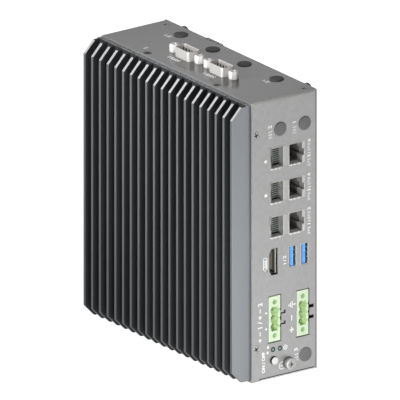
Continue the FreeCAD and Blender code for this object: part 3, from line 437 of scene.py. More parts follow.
def rowTree():
    # a fin repeated along a line; its walls take the near-black finish, partly a dark coat and partly painted
    # shade in the valleys; what faces outward takes the cut's finish, and the tips their own
    tree, start, end = newTree("rowOfFins", [
        ("Piece", "Object", None), ("Count", "Int", 18), ("First", "Vector", None),
        ("Pitch", "Vector", None), ("Wall Finish", "Material", None), ("Tip Finish", "Material", None),
        ("Cut Finish", "Material", None)])
    source = addNode(tree, "GeometryNodeObjectInfo", (-600, -200))
    line = addNode(tree, "GeometryNodeMeshLine", (-600, 200), mode="OFFSET")
    place = addNode(tree, "GeometryNodeInstanceOnPoints", (-300, 0))
    real = addNode(tree, "GeometryNodeRealizeInstances", (-60, 0))
    walls = addNode(tree, "GeometryNodeSetMaterial", (160, 0))
    facing = addNode(tree, "GeometryNodeInputNormal", (160, -300))
    part = addNode(tree, "ShaderNodeSeparateXYZ", (340, -300))
    join(tree, (start, "Piece", source, "Object"), (start, "Count", line, "Count"),
         (start, "First", line, "Start Location"), (start, "Pitch", line, "Offset"),
         (line, "Mesh", place, "Points"), (source, "Geometry", place, "Instance"),
         (place, "Instances", real, "Geometry"), (real, "Geometry", walls, "Geometry"),
         (start, "Wall Finish", walls, "Material"), (facing, "Normal", part, "Vector"))
    last = walls
    for label, limit, column in (("Cut Finish", -0.45, 660), ("Tip Finish", -0.9, 1000)):
        outward = addNode(tree, "FunctionNodeCompare", (column - 160, -300), data_type="FLOAT",
                          operation="LESS_THAN")
        outward.inputs["B"].default_value = limit
        coat = addNode(tree, "GeometryNodeSetMaterial", (column, 0))
        join(tree, (part, "X", outward, "A"), (outward, "Result", coat, "Selection"),
             (last, "Geometry", coat, "Geometry"), (start, label, coat, "Material"))
        last = coat
    join(tree, (last, "Geometry", end, "Geometry"))
    return tree


trees = {"copies": copiesTree(), "row": rowTree()}


def grown(name, base, tree, **values):
    # one mesh from a tree, its inputs set by their identifiers
    piece = linked(name, base)
    modifier = piece.modifiers.new("grow", "NODES")
    modifier.node_group = tree
    for item in tree.interface.items_tree:
        label = item.name.replace(" ", "")
        label = label[0].lower() + label[1:]
        if item.in_out == "INPUT" and label in values:
            modifier[item.identifier] = values[label]
    return settled(piece)


def copiesAt(name, template, spots, key, spin=0.0, seed=7):
    # spots are (place in mm, turn); the template is used up
    mesh = bpy.data.meshes.new(name + "Spots")
    mesh.from_pydata([Vector(place) * mm for place, turn in spots], [], [])
    facing = mesh.attributes.new("facing", "FLOAT_VECTOR", "POINT")
    for i, (place, turn) in enumerate(spots):
        facing.data[i].vector = turn
    piece = grown(name, mesh, trees["copies"], piece=template, spin=spin, seed=seed, finish=paint[key])
    old = template.data
    bpy.data.objects.remove(template)
    bpy.data.meshes.remove(old)
    return piece


# turns that point a template's own +Z out of each side
toFront = (math.pi / 2, 0, 0)
toBack = (-math.pi / 2, 0, 0)
toTop = (0, 0, 0)
toBottom = (math.pi, 0, 0)
toRight = (0, math.pi / 2, 0)
asMade = (0, 0, 0)


def onPanel(x, z, proud=0.0):
    return (x, panelY - proud, z), toFront


def onTop(x, y):
    return (x, y, topZ), toTop


shell = {
    "edge": 0.16, "plateEdge": 0.2, "latchSlots": ((20.6, 24.5), (40.7, 44.6)), "slotLow": 31.5,
    "slotHigh": 41.5, "seamLeft": 5.3, "seamRight": 44.6, "seamLow": 0.85, "seamHigh": 1.45,
}


def makeHousing():
    def latchSlotShade(middle, out):
        beside = any(across(left) < middle.x < across(right) for left, right in shell["latchSlots"])
        return (beside and shell["slotLow"] < middle.z < shell["slotHigh"]
                and behind(-0.2) < middle.y < behind(1.5) and abs(out.y) < 0.9)

    piece = cadPiece("foldedShell", "folded_shell", "shell", shell["edge"])
    # the walls of the latch slots take near-black: painted shade
    repainted(piece, "recess", latchSlotShade)
    # the top face takes the darker copy of the paint: painted shade
    repainted(piece, "shellTop", lambda middle, out: out.z > 0.99 and middle.z > below(0.2))
    # the cut edge beside the fins, and the bend from the top to the panel, take paler paint: painted
    # highlights
    repainted(piece, "sheetEdge", lambda middle, out: out.x < -0.3 and middle.x < across(0.4)
              and middle.y > behind(2.0) and middle.z > below(1.1))
    repainted(piece, "bend", lambda middle, out: -0.97 < out.y < -0.2 and out.z > 0.2
              and middle.y < behind(1.4) and middle.z > below(1.4))
    carried(piece, "folded_shell")
    tray = cadPiece("bottomTray", "bottom_plate", "cover", shell["plateEdge"])
    carried(repainted(tray, "trayEdge", lambda middle, out: out.y < -0.5 and middle.z < 2.0), "bottom_plate")
    carried(cadPiece("sideCover", "side_cover", "cover", shell["plateEdge"]), "side_cover")
    # a near-black strip on the panel along the seam over the tray: painted shade in the gap
    seam = ((across(shell["seamLeft"]), behind(-0.03), shell["seamLow"]),
            (across(shell["seamRight"]), behind(0.5), shell["seamHigh"]))
    carried(softened(blocks("traySeam", [seam], "recess"), 0.01, 1))


makeHousing()
print("housing made")

sink = {
    "tip": -30.0, "floor": -20.0, "seat": -16.7, "inner": -12.0, "low": 1.3, "high": 170.7, "crest": 171.3,
    "start": -73.5, "end": 74.4, "seatEnd": 73.7, "count": 20, "thin": 2.0, "thick": 2.3, "cutAcross": 6.8,
    "cutUp": 7.1, "grooveLeft": -18.0, "grooveDepth": 0.35, "edge": 0.22, "overlap": 0.5, "lap": 0.3,
}
sink["pitch"] = (sink["end"] - sink["start"] - sink["thin"]) / (sink["count"] - 1)


def addFin(bm, frontAt, backAt):
    # a fin with cut corners between two sides, each a place in Y for a place in X
    s = sink
    root, cut = s["floor"] + s["overlap"], s["tip"] + s["cutAcross"]
    corners = [(root, s["low"]), (cut, s["low"]), (s["tip"], s["low"] + s["cutUp"]),
               (s["tip"], s["high"] - s["cutUp"]), (cut, s["high"]), (root, s["high"])]
    addLoops(bm, [[(x, side(x), z) for x, z in corners] for side in (frontAt, backAt)])


def makeSink():
    s = sink
    half, deep = s["thin"] / 2, s["grooveDepth"]
    grow = (s["thick"] - s["thin"]) / 2 / (s["floor"] - s["tip"])

    def side(x):
        # half of a fin's thickness, which grows toward the floor
        return half + grow * (x - s["tip"])

    # the down-facing chamfers take the tips' darker finish instead of the cut metal: painted shade on the
    # undersides
    def under(middle, out):
        return out.x < -0.3 and out.z < -0.3

    bm = bmesh.new()
    addFin(bm, lambda x: -side(x), side)
    template = softened(meshPiece("fin", bm, smooth=False), s["edge"])
    row = grown("sinkFins", bpy.data.meshes.new("sinkFinsSeed"), trees["row"], piece=template,
                count=s["count"] - 2, first=(0, (s["start"] + half + s["pitch"]) * mm, 0),
                pitch=(0, s["pitch"] * mm, 0), wallFinish=paint["sinkWall"], tipFinish=paint["sinkTip"],
                cutFinish=paint["sinkCut"])
    bpy.data.objects.remove(template)
    carried(repainted(row, "sinkTip", under), "heat_sink")

    # the first and last fins, flat on their outer sides, with the base, the groove and the seat
    bm = bmesh.new()
    addFin(bm, lambda x: s["start"], lambda x: s["start"] + half + side(x))
    addFin(bm, lambda x: s["end"] - half - side(x), lambda x: s["end"])
    addBlock(bm, (s["floor"], s["start"], s["low"]), (s["grooveLeft"], s["end"], s["crest"]))
    addBlock(bm, (s["grooveLeft"] - s["lap"], s["start"] + deep, s["low"] + deep),
             (s["seat"] + s["lap"], s["end"] - deep, s["crest"] - 0.5))
    addBlock(bm, (s["seat"], s["start"] - 0.2, s["low"]), (s["inner"], s["seatEnd"], s["high"]))
    # faces not picked below keep the near-black of the valleys, partly painted shade
    keys = ["sinkWall", "sinkFace", "sinkTip", "sinkBase", "sinkCut"]
    base = softened(meshPiece("sinkBase", bm, *keys, smooth=False), s["edge"])
    for face in base.data.polygons:
        middle, out = face.center / mm, face.normal
        if abs(out.y) > 0.6 and (middle.y < s["start"] + 0.5 or middle.y > s["end"] - 0.5):
            face.material_index = keys.index("sinkFace")
        elif out.x < -0.45 and middle.x < s["floor"] - 0.5:
            face.material_index = keys.index("sinkTip" if out.x < -0.9 else "sinkCut")
        elif abs(out.z) > 0.6 and middle.x > s["floor"] - 0.4:
            face.material_index = keys.index("sinkBase")
    carried(repainted(base, "sinkTip", under), "heat_sink")


makeSink()
print("heat sink made")

# profiles are (radius, height) pairs; a recess has the reach, half width and depth of its arms
screws = {
    "flat": [(1.1, -6.0), (1.45, -5.6), (1.45, -1.15), (2.3, -0.3), (2.38, -0.12), (2.3, 0.02)],
    "tab": [(1.1, -4.5), (1.45, -4.1), (1.45, -1.15), (2.3, -0.28), (2.38, -0.12), (2.3, 0.0)],
    "pan": [(1.4, -3.9), (1.45, 0.0), (3.8, 0.0), (3.9, 0.2), (3.85, 1.3), (3.4, 1.85), (2.6, 2.05)],
    "recess": (1.6, 0.4, 1.1), "sinkX": 3.4, "sinkHeights": (20.1, 152.0), "sinkDepths": (-35.6, 33.4),
    "tabX": 41.0, "tabDepths": (-69.8, 67.7), "coverDepths": (-64.1, 58.0), "coverHeights": (3.6, 168.4),
}


def screwTemplate(profile, recess):
    # a turned screw whose flat top has a cross recess
    reach, half, depth = recess
    sides = 48
    angles = [2 * math.pi * i / sides for i in range(sides)]

    def ring(radii, height):
        return [(r * math.cos(a), r * math.sin(a), height) for r, a in zip(radii, angles)]

    star = []
    for a in angles:
        off = abs((a + math.pi / 4) % (math.pi / 2) - math.pi / 4)
        star.append(min(reach, half / max(0.001, math.sin(off))))
    top = profile[-1][1]
    loops = [ring([radius] * sides, height) for radius, height in profile]
    loops += [ring(star, top), ring([r * 0.75 for r in star], top - depth * 0.6),
              ring([r * 0.25 for r in star], top - depth)]
    bm = bmesh.new()
    addLoops(bm, loops)
    screw = meshPiece("screwTemplate", bm)
    # a dark liner a little below the rim of the recess: painted shade
    bm = bmesh.new()
    star = [r * 0.97 for r in star]
    addLoops(bm, [ring(star, top - 0.12), ring([r * 0.8 for r in star], top - depth * 0.55)])
    return screw, meshPiece("linerTemplate", bm, smooth=False)


def makeScrews():
    s = screws
    x = across(s["sinkX"])
    edgeSpots = [onPanel(x, z) for z in s["sinkHeights"]]
    edgeSpots += [((x, house["back"], z), toBack) for z in s["sinkHeights"]]
    edgeSpots += [((x, y, 0.0), toBottom) for y in s["sinkDepths"]]
    topSpots = [onTop(x, y) for y in s["sinkDepths"]]
    tabSpots = [onTop(across(s["tabX"]), y) for y in s["tabDepths"]]
    coverSpots = [((house["right"], y, z), toRight) for y in s["coverDepths"] for z in s["coverHeights"]]
    # the top screws take the dark steel where the same screws on the panel take zinc: painted shade
    for name, shape, spots, key, node, spin in (
            ("frontScrews", "flat", edgeSpots, "screwHead", "sink_screws", 0.5),
            ("topScrews", "flat", topSpots, "darkSteel", "sink_screws", 0.5),
            ("tabScrews", "tab", tabSpots, "shell", "tab_screws", 0.5),
            ("coverScrews", "pan", coverSpots, "darkSteel", "cover_screws", 1.2)):
        screw, liner = screwTemplate(s[shape], s["recess"])
        carried(copiesAt(name, screw, spots, key, spin=spin, seed=3), node)
        carried(copiesAt(name + "Recess", liner, spots, "recess", spin=spin, seed=3))


makeScrews()

plugs = {
    "profile": [(0, -3.4), (2.3, -3.4), (3.15, -2.2), (2.6, -1.5), (2.6, 0.0), (4.1, 0.0), (4.28, 0.1),
                (4.3, 0.28), (4.1, 0.55), (3.6, 0.7), (2.4, 0.77), (0, 0.8)],
    "front": ((20.4, 19.3), (37.9, 19.3), (38.4, 161.8)), "topX": 37.6, "topBacks": (27.6, 59.5, 90.9, 122.7),
}
# the top plugs take a darker copy of the front plugs' rubber: painted shade
for name, spots, key in (
        ("frontPlugs", [onPanel(across(x), below(drop)) for x, drop in plugs["front"]], "plug"),
        ("topPlugs", [onTop(across(plugs["topX"]), behind(back)) for back in plugs["topBacks"]], "plugDark")):
    template = turned("plugTemplate", plugs["profile"], 56)
    carried(copiesAt(name, template, spots, key, spin=3.0, seed=5), "antenna_plugs")
print("screws and plugs made")

# left and right are the ports' sides; west and east are their wires' root depth and length
jack = {
    "drops": (36.7, 57.85, 79.0), "left": (13.4, 22.6), "right": (26.9, 36.1), "half": 6.2, "latch": 2.1,
    "notch": 37.6, "shoulder": 14.4, "divide": 24.7, "rimWest": 0.5, "rimEast": 0.6, "rimUp": 0.25,
    "rimDown": 0.5, "rimProud": 0.15, "lump": 0.58, "lumpPitch": 2.75, "wires": 8, "wirePitch": 1.27,
    "wireWide": 0.3, "wireThin": 0.12, "west": (4.6, 4.9), "east": (8.5, 3.2),
}


def portOutline(port, drop):
    # round a window, counterclockwise seen from the front, as (x, z); the right one takes in its latch notch
    near, far = (across(x) for x in port)
    middle = below(drop)
    low, high = middle - jack["half"], middle + jack["half"]
    points = [(near, low), (far, low), (far, high), (near, high)]
    if port is jack["right"]:
        notch, latch = across(jack["notch"]), jack["latch"]
        low, high = middle - latch, middle + latch
        points[2:2] = [(far, low), (notch, low), (notch, high), (far, high)]
    return points


def grownOutline(points, part):
    # each corner of an upright outline moved outward by its two sides' share of the rim
    west, east, up, down = (jack[side] * part for side in ("rimWest", "rimEast", "rimUp", "rimDown"))
    result = []
    for i, (x, z) in enumerate(points):
        moved = [x, z]
        for (ax, az), (bx, bz) in ((points[i - 1], (x, z)), ((x, z), points[(i + 1) % len(points)])):
            if abs(bx - ax) > abs(bz - az):
                moved[1] += -down if bx > ax else up
            else:
                moved[0] += east if bz > az else -west
        result.append(tuple(moved))
    return result


def addRim(bm, points):
    # a rounded frame that stands a little proud of the panel round an outline
    proud = jack["rimProud"]
    steps = ((1.0, 0.02), (1.0, -proud * 0.5), (0.8, -proud), (0.2, -proud), (0.0, -proud * 0.5), (0.0, 0.04))
    loops = [[(x, panelY + y, z) for x, z in grownOutline(points, part)] for part, y in steps]
    addLoops(bm, loops, ring=True)


def makeJackWires(side, wall, turn):
    # sprung wires from a port's wall toward its latch
    root, length = jack[side]
    wide, thin = jack["wireWide"], jack["wireThin"]
    section = ((-thin, -wide), (-thin, wide), (thin, wide), (thin, -wide))
    path = [(-0.3, 0.0), (0.8, -0.05), (length, -0.5), (length + 0.5, -0.3)]
    bm = bmesh.new()
    addLoops(bm, [[(turn * x, y + dy, dz) for dy, dz in section] for x, y in path])
    rises = [(i - (jack["wires"] - 1) / 2) * jack["wirePitch"] for i in range(jack["wires"])]
    spots = [((across(wall), behind(root), below(drop) + rise), asMade)
             for drop in jack["drops"] for rise in rises]
    template = meshPiece("wireTemplate", bm, smooth=False)
    carried(copiesAt("jackWires" + side.capitalize(), template, spots, "wire"), "network_contacts")


def makeJacks():
    ports = [jack["left"], jack["right"]]
    half, shoulder, divide = jack["half"], across(jack["shoulder"]), across(jack["divide"])
    bm = bmesh.new()
    for drop in jack["drops"]:
        for port in ports:
            addRim(bm, portOutline(port, drop))
    carried(meshPiece("jackRims", bm, "spring"))
    near, far = across(jack["left"][1] + 0.55), across(jack["right"][0] - 0.5)
    bridges = [((near, behind(-0.04), below(drop) - half + 0.3), (far, behind(0.1), below(drop) + half - 0.2))
               for drop in jack["drops"]]
    carried(softened(blocks("jackBridges", bridges, "bridge"), 0.05, 1))
    for i in (1, 2, 3):
        piece = sliced(cadPiece("jackShield%d" % i, "network_shield_%d" % i, "can", 0.08), (shoulder,))
        # the can's inner walls deeper than 1.2 mm take a darker copy of the plate: painted shade
        repainted(piece, "canInner", lambda middle, out: out.x < -0.5 and middle.y > behind(1.2))
        repainted(piece, "spring", lambda middle, out: out.y < -0.5)
        # the shoulders beside the left ports take a dark grey on the plated can: painted shade
        repainted(piece, "shoulder", lambda middle, out: middle.x < shoulder and middle.y < behind(2.0))
        carried(piece, "network_shield_%d" % i)
        piece = sliced(cadPiece("jackBody%d" % i, "network_insert_%d" % i, "jackBody", 0.12), (divide,))
        carried(repainted(piece, "jackPale", lambda middle, out: middle.x > divide), "network_insert_%d" % i)

    # the sprung lumps along the lower edge of each window
    bm = bmesh.new()
    bmesh.ops.create_uvsphere(bm, u_segments=20, v_segments=12, radius=jack["lump"] * mm)
    bmesh.ops.scale(bm, vec=(2.1, 1.1, 0.9), verts=bm.verts)
    spots = [onPanel(across(port[0] + 1.2 + i * jack["lumpPitch"]), below(drop) - half - 0.2, 0.1)
             for drop in jack["drops"] for port in ports for i in range(3)]
    carried(copiesAt("jackSprings", meshPiece("springTemplate", bm), spots, "lump"))
    makeJackWires("west", jack["left"][1], -1)
    makeJackWires("east", jack["right"][0], 1)


makeJacks()
print("network jacks made")

video = {
    "right": 18.1, "low": 110.58, "rim": 0.75, "front": 1.8, "strip": (0.04, 4.2, 0.22), "rowGap": 0.72,
    "rows": ((-1, 10), (1, 9)), "endGap": 6.5, "depth": 6.8,
}


def makeVideo():
    v = video
    rimX, rimZ, front = across(v["right"] - v["rim"]), below(v["low"] - v["rim"]), behind(v["front"])
    piece = cadPiece("videoShell", "video_shell", "nickel", 0.12)
    sliced(piece, (rimX,))
    sliced(piece, (rimZ,), 2)
    # all of the nickel shell but a strip at the right and at the bottom goes near-black: painted shade
    repainted(piece, "videoRim", lambda middle, out: middle.x < rimX and middle.z > rimZ)
    sliced(piece, (front,), 1)
    # the walls deeper than the front take a dark brown-grey: painted shade
    repainted(piece, "videoWall", lambda middle, out: middle.y > front)
    carried(piece, "video_shell")
    carried(cadPiece("videoTongue", "video_tongue", "brown", 0.15), "video_tongue")
    low, high = boxOf("video_tongue")
    middle, span = (low + high) / 2, high.z - low.z - v["endGap"]
    strip = Vector(v["strip"])
    template = softened(blocks("stripTemplate", [(-strip, strip)]), 0.03, 1)
    spots = []
    for side, count in v["rows"]:
        x = middle.x + side * v["rowGap"]
        spots += [((x, behind(v["depth"]), middle.z + span * (i / (count - 1) - 0.5)), asMade)
                  for i in range(count)]
    carried(copiesAt("videoContacts", template, spots, "gold"))


makeVideo()

data = {
    "spring": 1.15, "springLong": 5.0, "springX": 0.55, "springDepth": 3.2,
    "springZs": (-4.5, -1.5, 1.5, 4.5), "bands": (("blueMiddle", 0.3), ("bluePale", 0.6)),
}


def makeData():
    d = data
    bm = bmesh.new()
    bmesh.ops.create_cone(bm, cap_ends=True, segments=20, radius1=d["spring"] * mm, radius2=d["spring"] * mm,
                          depth=d["springLong"] * mm)
    template = softened(meshPiece("bumpTemplate", bm), 0.2)
    spots = []
    for i in (1, 2):
        carried(cadPiece("dataShell%d" % i, "data_shell_%d" % i, "dataRim", 0.1), "data_shell_%d" % i)
        piece = cadPiece("dataTongue%d" % i, "data_tongue_%d" % i, "blue", 0.25, 3)
        low, high = boxOf("data_tongue_%d" % i)
        # the tongue's front is painted paler in steps toward the right: painted light and shade across one
        # face
        edges = [low.x + (high.x - low.x) * share for key, share in d["bands"]]
        sliced(piece, edges)
        for edge, (key, share) in zip(edges, d["bands"]):
            repainted(piece, key, lambda middle, out: out.y < -0.4 and middle.x > edge)
        carried(piece, "data_tongue_%d" % i)
        low, high = boxOf("data_shell_%d" % i)
        spots += [onPanel(high.x - d["springX"], (low.z + high.z) / 2 + z, -d["springDepth"])
                  for z in d["springZs"]]
    carried(copiesAt("dataSprings", template, spots, "black"))


makeData()
print("video and data ports made")

header = {
    "places": ((16.5, 36.5), (36.6, 36.1)), "half": 4.3, "pitch": 5.08, "flange": 10.3, "notch": 1.05,
    "notchOut": 0.3, "slots": (-3.1, 3.5), "slackRight": 0.3, "slackTop": 0.2, "slackLow": 0.3,
    "seat": [(0, -4.0), (1.55, -4.0), (1.55, 0.0), (1.5, 0.03), (1.4, 0.0), (1.0, -0.45), (0.5, -0.6),
             (0, -0.62)],
}


def cutNotches(piece, x, z):
    # round notches down the right edge, one beside each way
    radius = header["notch"] * mm
    notches = bmesh.new()
    for way in (-1, 0, 1):
        place = Vector((x + header["half"] + header["notchOut"], panelY, z + way * header["pitch"])) * mm
        turn = Matrix.Translation(place) @ Matrix.Rotation(-math.pi / 2, 4, "X")
        bmesh.ops.create_cone(notches, cap_ends=True, segments=20, radius1=radius, radius2=radius,
                              depth=14 * mm, matrix=turn)
    cutter = meshPiece("notchCutter", notches)
    cut = piece.modifiers.new("notches", "BOOLEAN")
    cut.object = cutter
    cut.operation = "DIFFERENCE"
    cut.solver = "EXACT"
    settled(piece)
    bpy.data.objects.remove(cutter)


def makeHeaders():
    spots = []
    for i, (distance, z) in enumerate(header["places"], 1):
        x, half = across(distance), header["half"]
        piece = cadCopy("powerHeader%d" % i, "power_inlet_%d" % i, "headerFace")
        piece.data.materials.append(paint["headerWell"])
        cutNotches(piece, x, z)
        softened(piece, 0.15)
        low, high = boxOf("power_inlet_%d" % i)
        for vertex in piece.data.vertices:
            # a little slack at the right, the top and the bottom shows as a dark line
            if vertex.co.x > (x + half - 0.25) * mm:
                vertex.co.x -= header["slackRight"] * mm
            if vertex.co.z > (high.z - 0.3) * mm:
                vertex.co.z -= header["slackTop"] * mm
            elif vertex.co.z < (low.z + 0.3) * mm:
                vertex.co.z += header["slackLow"] * mm
        for face in piece.data.polygons:
            middle = face.center / mm
            face.material_index = 1 if abs(middle.x - x) < half - 0.6 and middle.y > behind(0.25) else 0
        # the right-facing faces by the right edge go near-black: painted shade in the gap
        repainted(piece, "recess", lambda middle, out: middle.x > x + half - 1.4 and out.x > 0.2
                  and abs(out.y) < 0.5)
        carried(piece, "power_inlet_%d" % i)
        spots += [onPanel(x, z + side * header["flange"]) for side in (-1, 1)]
    # the flange holes' seats take a dark green: painted shade in the holes
    carried(copiesAt("flangeSeats", turned("seatTemplate", header["seat"], 32), spots, "headerHole"))

    # the left header's latch tabs, seen in their slots
    distance, z = header["places"][0]
    edge = across(distance) + header["half"]
    tabs = [((edge, behind(0.05), z + slot - 0.65), (edge + 2.45, behind(1.5), z + slot + 0.98))
            for slot in header["slots"]]
    carried(softened(blocks("latchTabs", tabs, "shell"), 0.1))


makeHeaders()
print("power headers made")

light = {
    "places": ((15.3, 17.8), (20.3, 17.6)),
    "ring": [(0.95, -8.6), (1.5, -8.6), (1.5, 0.2), (1.38, 0.3), (1.0, 0.3), (0.95, 0.1)],
    "lens": [(0, -8.6), (0.95, -8.6), (0.95, -0.1), (0.8, 0.08), (0.45, 0.2), (0, 0.24)],
}
lightSpots = [onPanel(across(distance), z) for distance, z in light["places"]]
ring = turned("ringTemplate", light["ring"], 40, close=False)
carried(copiesAt("lightRings", ring, lightSpots, "lensRing"), "status_lights")
lens = turned("lensTemplate", light["lens"], 40)
carried(copiesAt("lightLenses", lens, lightSpots, "lens"), "status_lights")

button = {
    "x": 15.8, "z": 11.1, "neck": 1.25,
    "profile": [(0, -6.4), (1.0, -6.4), (1.0, -5.3), (2.28, -5.3), (2.3, 1.3), (2.22, 1.5), (2.0, 1.66),
                (1.7, 1.7), (0.9, 1.64), (0, 1.62)],
}


def makeButton():
    piece = turned("powerButton", button["profile"], 64, "white", "black")
    # the cap's side below this height takes black, its face white: painted shade
    for face in piece.data.polygons:
        face.material_index = 1 if face.center.z < button["neck"] * mm else 0
    place = Vector((across(button["x"]), panelY, button["z"])) * mm
    piece.data.transform(Matrix.Translation(place) @ Matrix.Rotation(math.pi / 2, 4, "X"))
    carried(piece, "power_button", body="button")


makeButton()

earth = {
    "x": 25.8, "z": 7.8, "collar": 1.6, "recess": (1.2, 0.36, 1.5), "ribs": 30, "rib": 0.14, "rim": 2.1,
    "screw": [(1.9, -5.6), (2.0, -5.3), (2.0, 0.0), (3.3, 0.0), (3.4, 0.25), (3.4, 2.0), (3.15, 2.5),
              (2.7, 2.65)],
    "washer": [(2.1, 0.0), (3.45, 0.0), (3.6, 0.15), (3.6, 1.45), (3.45, 1.6), (2.1, 1.6)],
}


def makeEarthScrew():
    e = earth
    x, z = across(e["x"]), e["z"]
    screw, liner = screwTemplate(e["screw"], e["recess"])
    spots = [onPanel(x, z, e["collar"])]
    piece = copiesAt("earthScrew", screw, spots, "screwHead")
    # the head's chamfered rim takes a paler finish: painted highlight
    carried(repainted(piece, "trayEdge", lambda middle, out: middle.y < behind(-2.5) and 0.2 < -out.y < 0.97
                      and math.hypot(middle.x - x, middle.z - z) > e["rim"]), "earth_screw")
    # the dark liner in its cross recess: painted shade
    carried(copiesAt("earthRecess", liner, spots, "recess"))
    # the ribbed washer under its head
    angles = [math.pi * i / e["ribs"] for i in range(2 * e["ribs"])]
    loops = []
    for radius, height in e["washer"]:
        radii = (radius, radius - e["rib"] if radius > 3 else radius)
        loops.append([(radii[i % 2] * math.cos(a), radii[i % 2] * math.sin(a), height)
                      for i, a in enumerate(angles)])
    bm = bmesh.new()
    addLoops(bm, loops, ring=True)
    collar = meshPiece("collarTemplate", bm, smooth=False)
    carried(copiesAt("earthCollar", collar, [onPanel(x, z)], "collar"), "earth_washer")


makeEarthScrew()
print("lights, button and earth screw made")

# places are a distance across and a drop below the top; sizes and offsets are in mm
marks = {
    "thick": 0.02, "weight": 0.13,
    "aerials": ((13.3, 19.8, "2"), (30.66, 20.2, "1"), (31.9, 160.5, "3")),
    "networks": ((41.14, 38.1, "5", "6"), (41.14, 59.2, "3", "4"), (41.14, 80.15, "1", "2")),
    "rings": ((10.0, 37.5, 1.0, 0.02), (10.1, 58.5, 1.0, 0.02), (11.7, 152.2, 0.9, 0.02),
              (24.1, 154.5, 1.5, 0.95), (24.1, 154.5, 0.45, 0.02), (21.8, 165.3, 2.4, 1.95)),
    "screen": (9.7, 100.7),
    "screenBars": ((-1.5, 1.5, -4.3, -3.6), (-1.5, 1.5, 3.6, 4.3), (-1.5, -0.9, -4.3, 4.3),
                   (0.8, 1.5, -4.3, 4.3), (-0.4, 0.3, -2.4, 2.4)),
    "bars": ((9.75, 11.1, 131.45, 130.35), (9.75, 11.1, 141.35, 140.25), (10.7, 12.0, 156.3, 154.7)),
    "earths": ((28.9, 129.3, 2.6), (21.6, 165.3, 1.25)),
    "words": ((23.7, 101.0, "1 / 2", 2.9, 1.05), (6.25, 136.0, "+ \u2212 1 / + \u2212 2", 4.3, 1.08),
              (28.94, 137.4, "\u2212", 5.4, 1.2), (28.94, 144.7, "+", 5.4, 1.3),
              (8.6, 161.0, "ON / OFF", 2.9, 1.05)),
    "tops": ((30.3, 125.6, "||| 5"), (30.1, 27.8, "||| 4"), (9.7, 90.9, "|O|O| 2"), (9.6, 55.9, "|O|O| 1"),
             (7.4, 115.8, "||")),
}


def textMesh(words, size):
    # letters as a plain mesh, lying in X and Y, centred, in mm
    curve = bpy.data.curves.new("letters", "FONT")
    curve.body = words
    curve.size = size
    curve.align_x, curve.align_y = "CENTER", "CENTER"
    curve.extrude = marks["thick"]
    curve.offset = marks["weight"]
    curve.resolution_u = 3
    holder = linked("letters", curve)
    bpy.context.view_layer.update()
    mesh = bpy.data.meshes.new_from_object(holder.evaluated_get(bpy.context.evaluated_depsgraph_get()))
    bpy.data.objects.remove(holder)
    bpy.data.curves.remove(curve)
    return mesh


def addWords(bm, words, size, x, place, stretch, lying=False):
    # on the panel words run upward from a height; lying on the top they run toward the back from a depth
    mesh = textMesh(words, size)
    before = len(bm.verts)
    bm.from_mesh(mesh)
    bpy.data.meshes.remove(mesh)
    bm.verts.ensure_lookup_table()
    for vertex in bm.verts[before:]:
        along, up, out = vertex.co.x * stretch, vertex.co.y, vertex.co.z
        if lying:
            vertex.co = Vector((x - up, place + along, topZ + out)) * mm
        else:
            vertex.co = Vector((x - up, panelY - out, place + along)) * mm


def addBar(bm, x0, x1, z0, z1):
    addBlock(bm, (x0, panelY - marks["thick"], z0), (x1, panelY + marks["thick"], z1))


def addRing(bm, x, z, outer, inner):
    # a flat printed ring, or a dot when its hole is next to nothing
    thick = marks["thick"]
    section = ((outer, thick), (outer, -thick), (inner, -thick), (inner, thick))
    angles = [math.pi * i / 16 for i in range(32)]
    addLoops(bm, [[(x + radius * math.cos(a), panelY + y, z + radius * math.sin(a)) for a in angles]
                  for radius, y in section], ring=True)


def addEarth(bm, x, z, size):
    # the earth symbol lying on its side, its stem to the right
    addBar(bm, x, x + size, z - 0.14 * size, z + 0.14 * size)
    for i, half in enumerate((0.8, 0.5, 0.22)):
        at = x - i * 0.45 * size
        addBar(bm, at - 0.13 * size, at + 0.13 * size, z - half * size, z + half * size)


def addAerial(bm, x, z, number):
    # a mast with three short strokes, then its number
    addBar(bm, x - 0.25, x + 0.25, z - 4.1, z + 0.6)
    for i in range(3):
        addBar(bm, x - 1.25, x + 1.25, z - 4.0 + i * 1.75, z - 3.3 + i * 1.75)
    addWords(bm, number, 3.4, x, z + 3.0, 1.2)


def addNetwork(bm, x, z, number):
    # three strokes on a stem, then the port's number
    for i in range(3):
        addBar(bm, x - 1.0, x + 0.9 - 0.5 * (i % 2), z - 3.4 + i * 1.7, z - 2.3 + i * 1.7)
    addBar(bm, x - 0.25, x + 0.2, z - 3.2, z + 1.0)
    addWords(bm, number, 2.9, x, z + 2.9, 1.2)


def makeMarks():
    bm = bmesh.new()
    for distance, drop, number in marks["aerials"]:
        addAerial(bm, across(distance), below(drop), number)
    for distance, drop, first, second in marks["networks"]:
        x, z = across(distance), below(drop)
        addNetwork(bm, x, z - 4.7, first)
        addNetwork(bm, x, z + 4.7, second)
        addBar(bm, x - 1.1, x + 1.1, z - 0.3, z + 0.2)
    for distance, drop, outer, inner in marks["rings"]:
        addRing(bm, across(distance), below(drop), outer, inner)
    x, z = across(marks["screen"][0]), below(marks["screen"][1])
    for x0, x1, z0, z1 in marks["screenBars"]:
        addBar(bm, x + x0, x + x1, z + z0, z + z1)
    for near, far, low, high in marks["bars"]:
        addBar(bm, across(near), across(far), below(low), below(high))
    for distance, drop, size in marks["earths"]:
        addEarth(bm, across(distance), below(drop), size)
    for distance, drop, words, size, stretch in marks["words"]:
        addWords(bm, words, size, across(distance), below(drop), stretch)
    # numbers by the top plugs and the serial ports
    for distance, back, words in marks["tops"]:
        addWords(bm, words, 3.0, across(distance), behind(back), 1.1, lying=True)
    carried(meshPiece("whiteMarks", bm, "ink", smooth=False))


makeMarks()
print("marks printed")

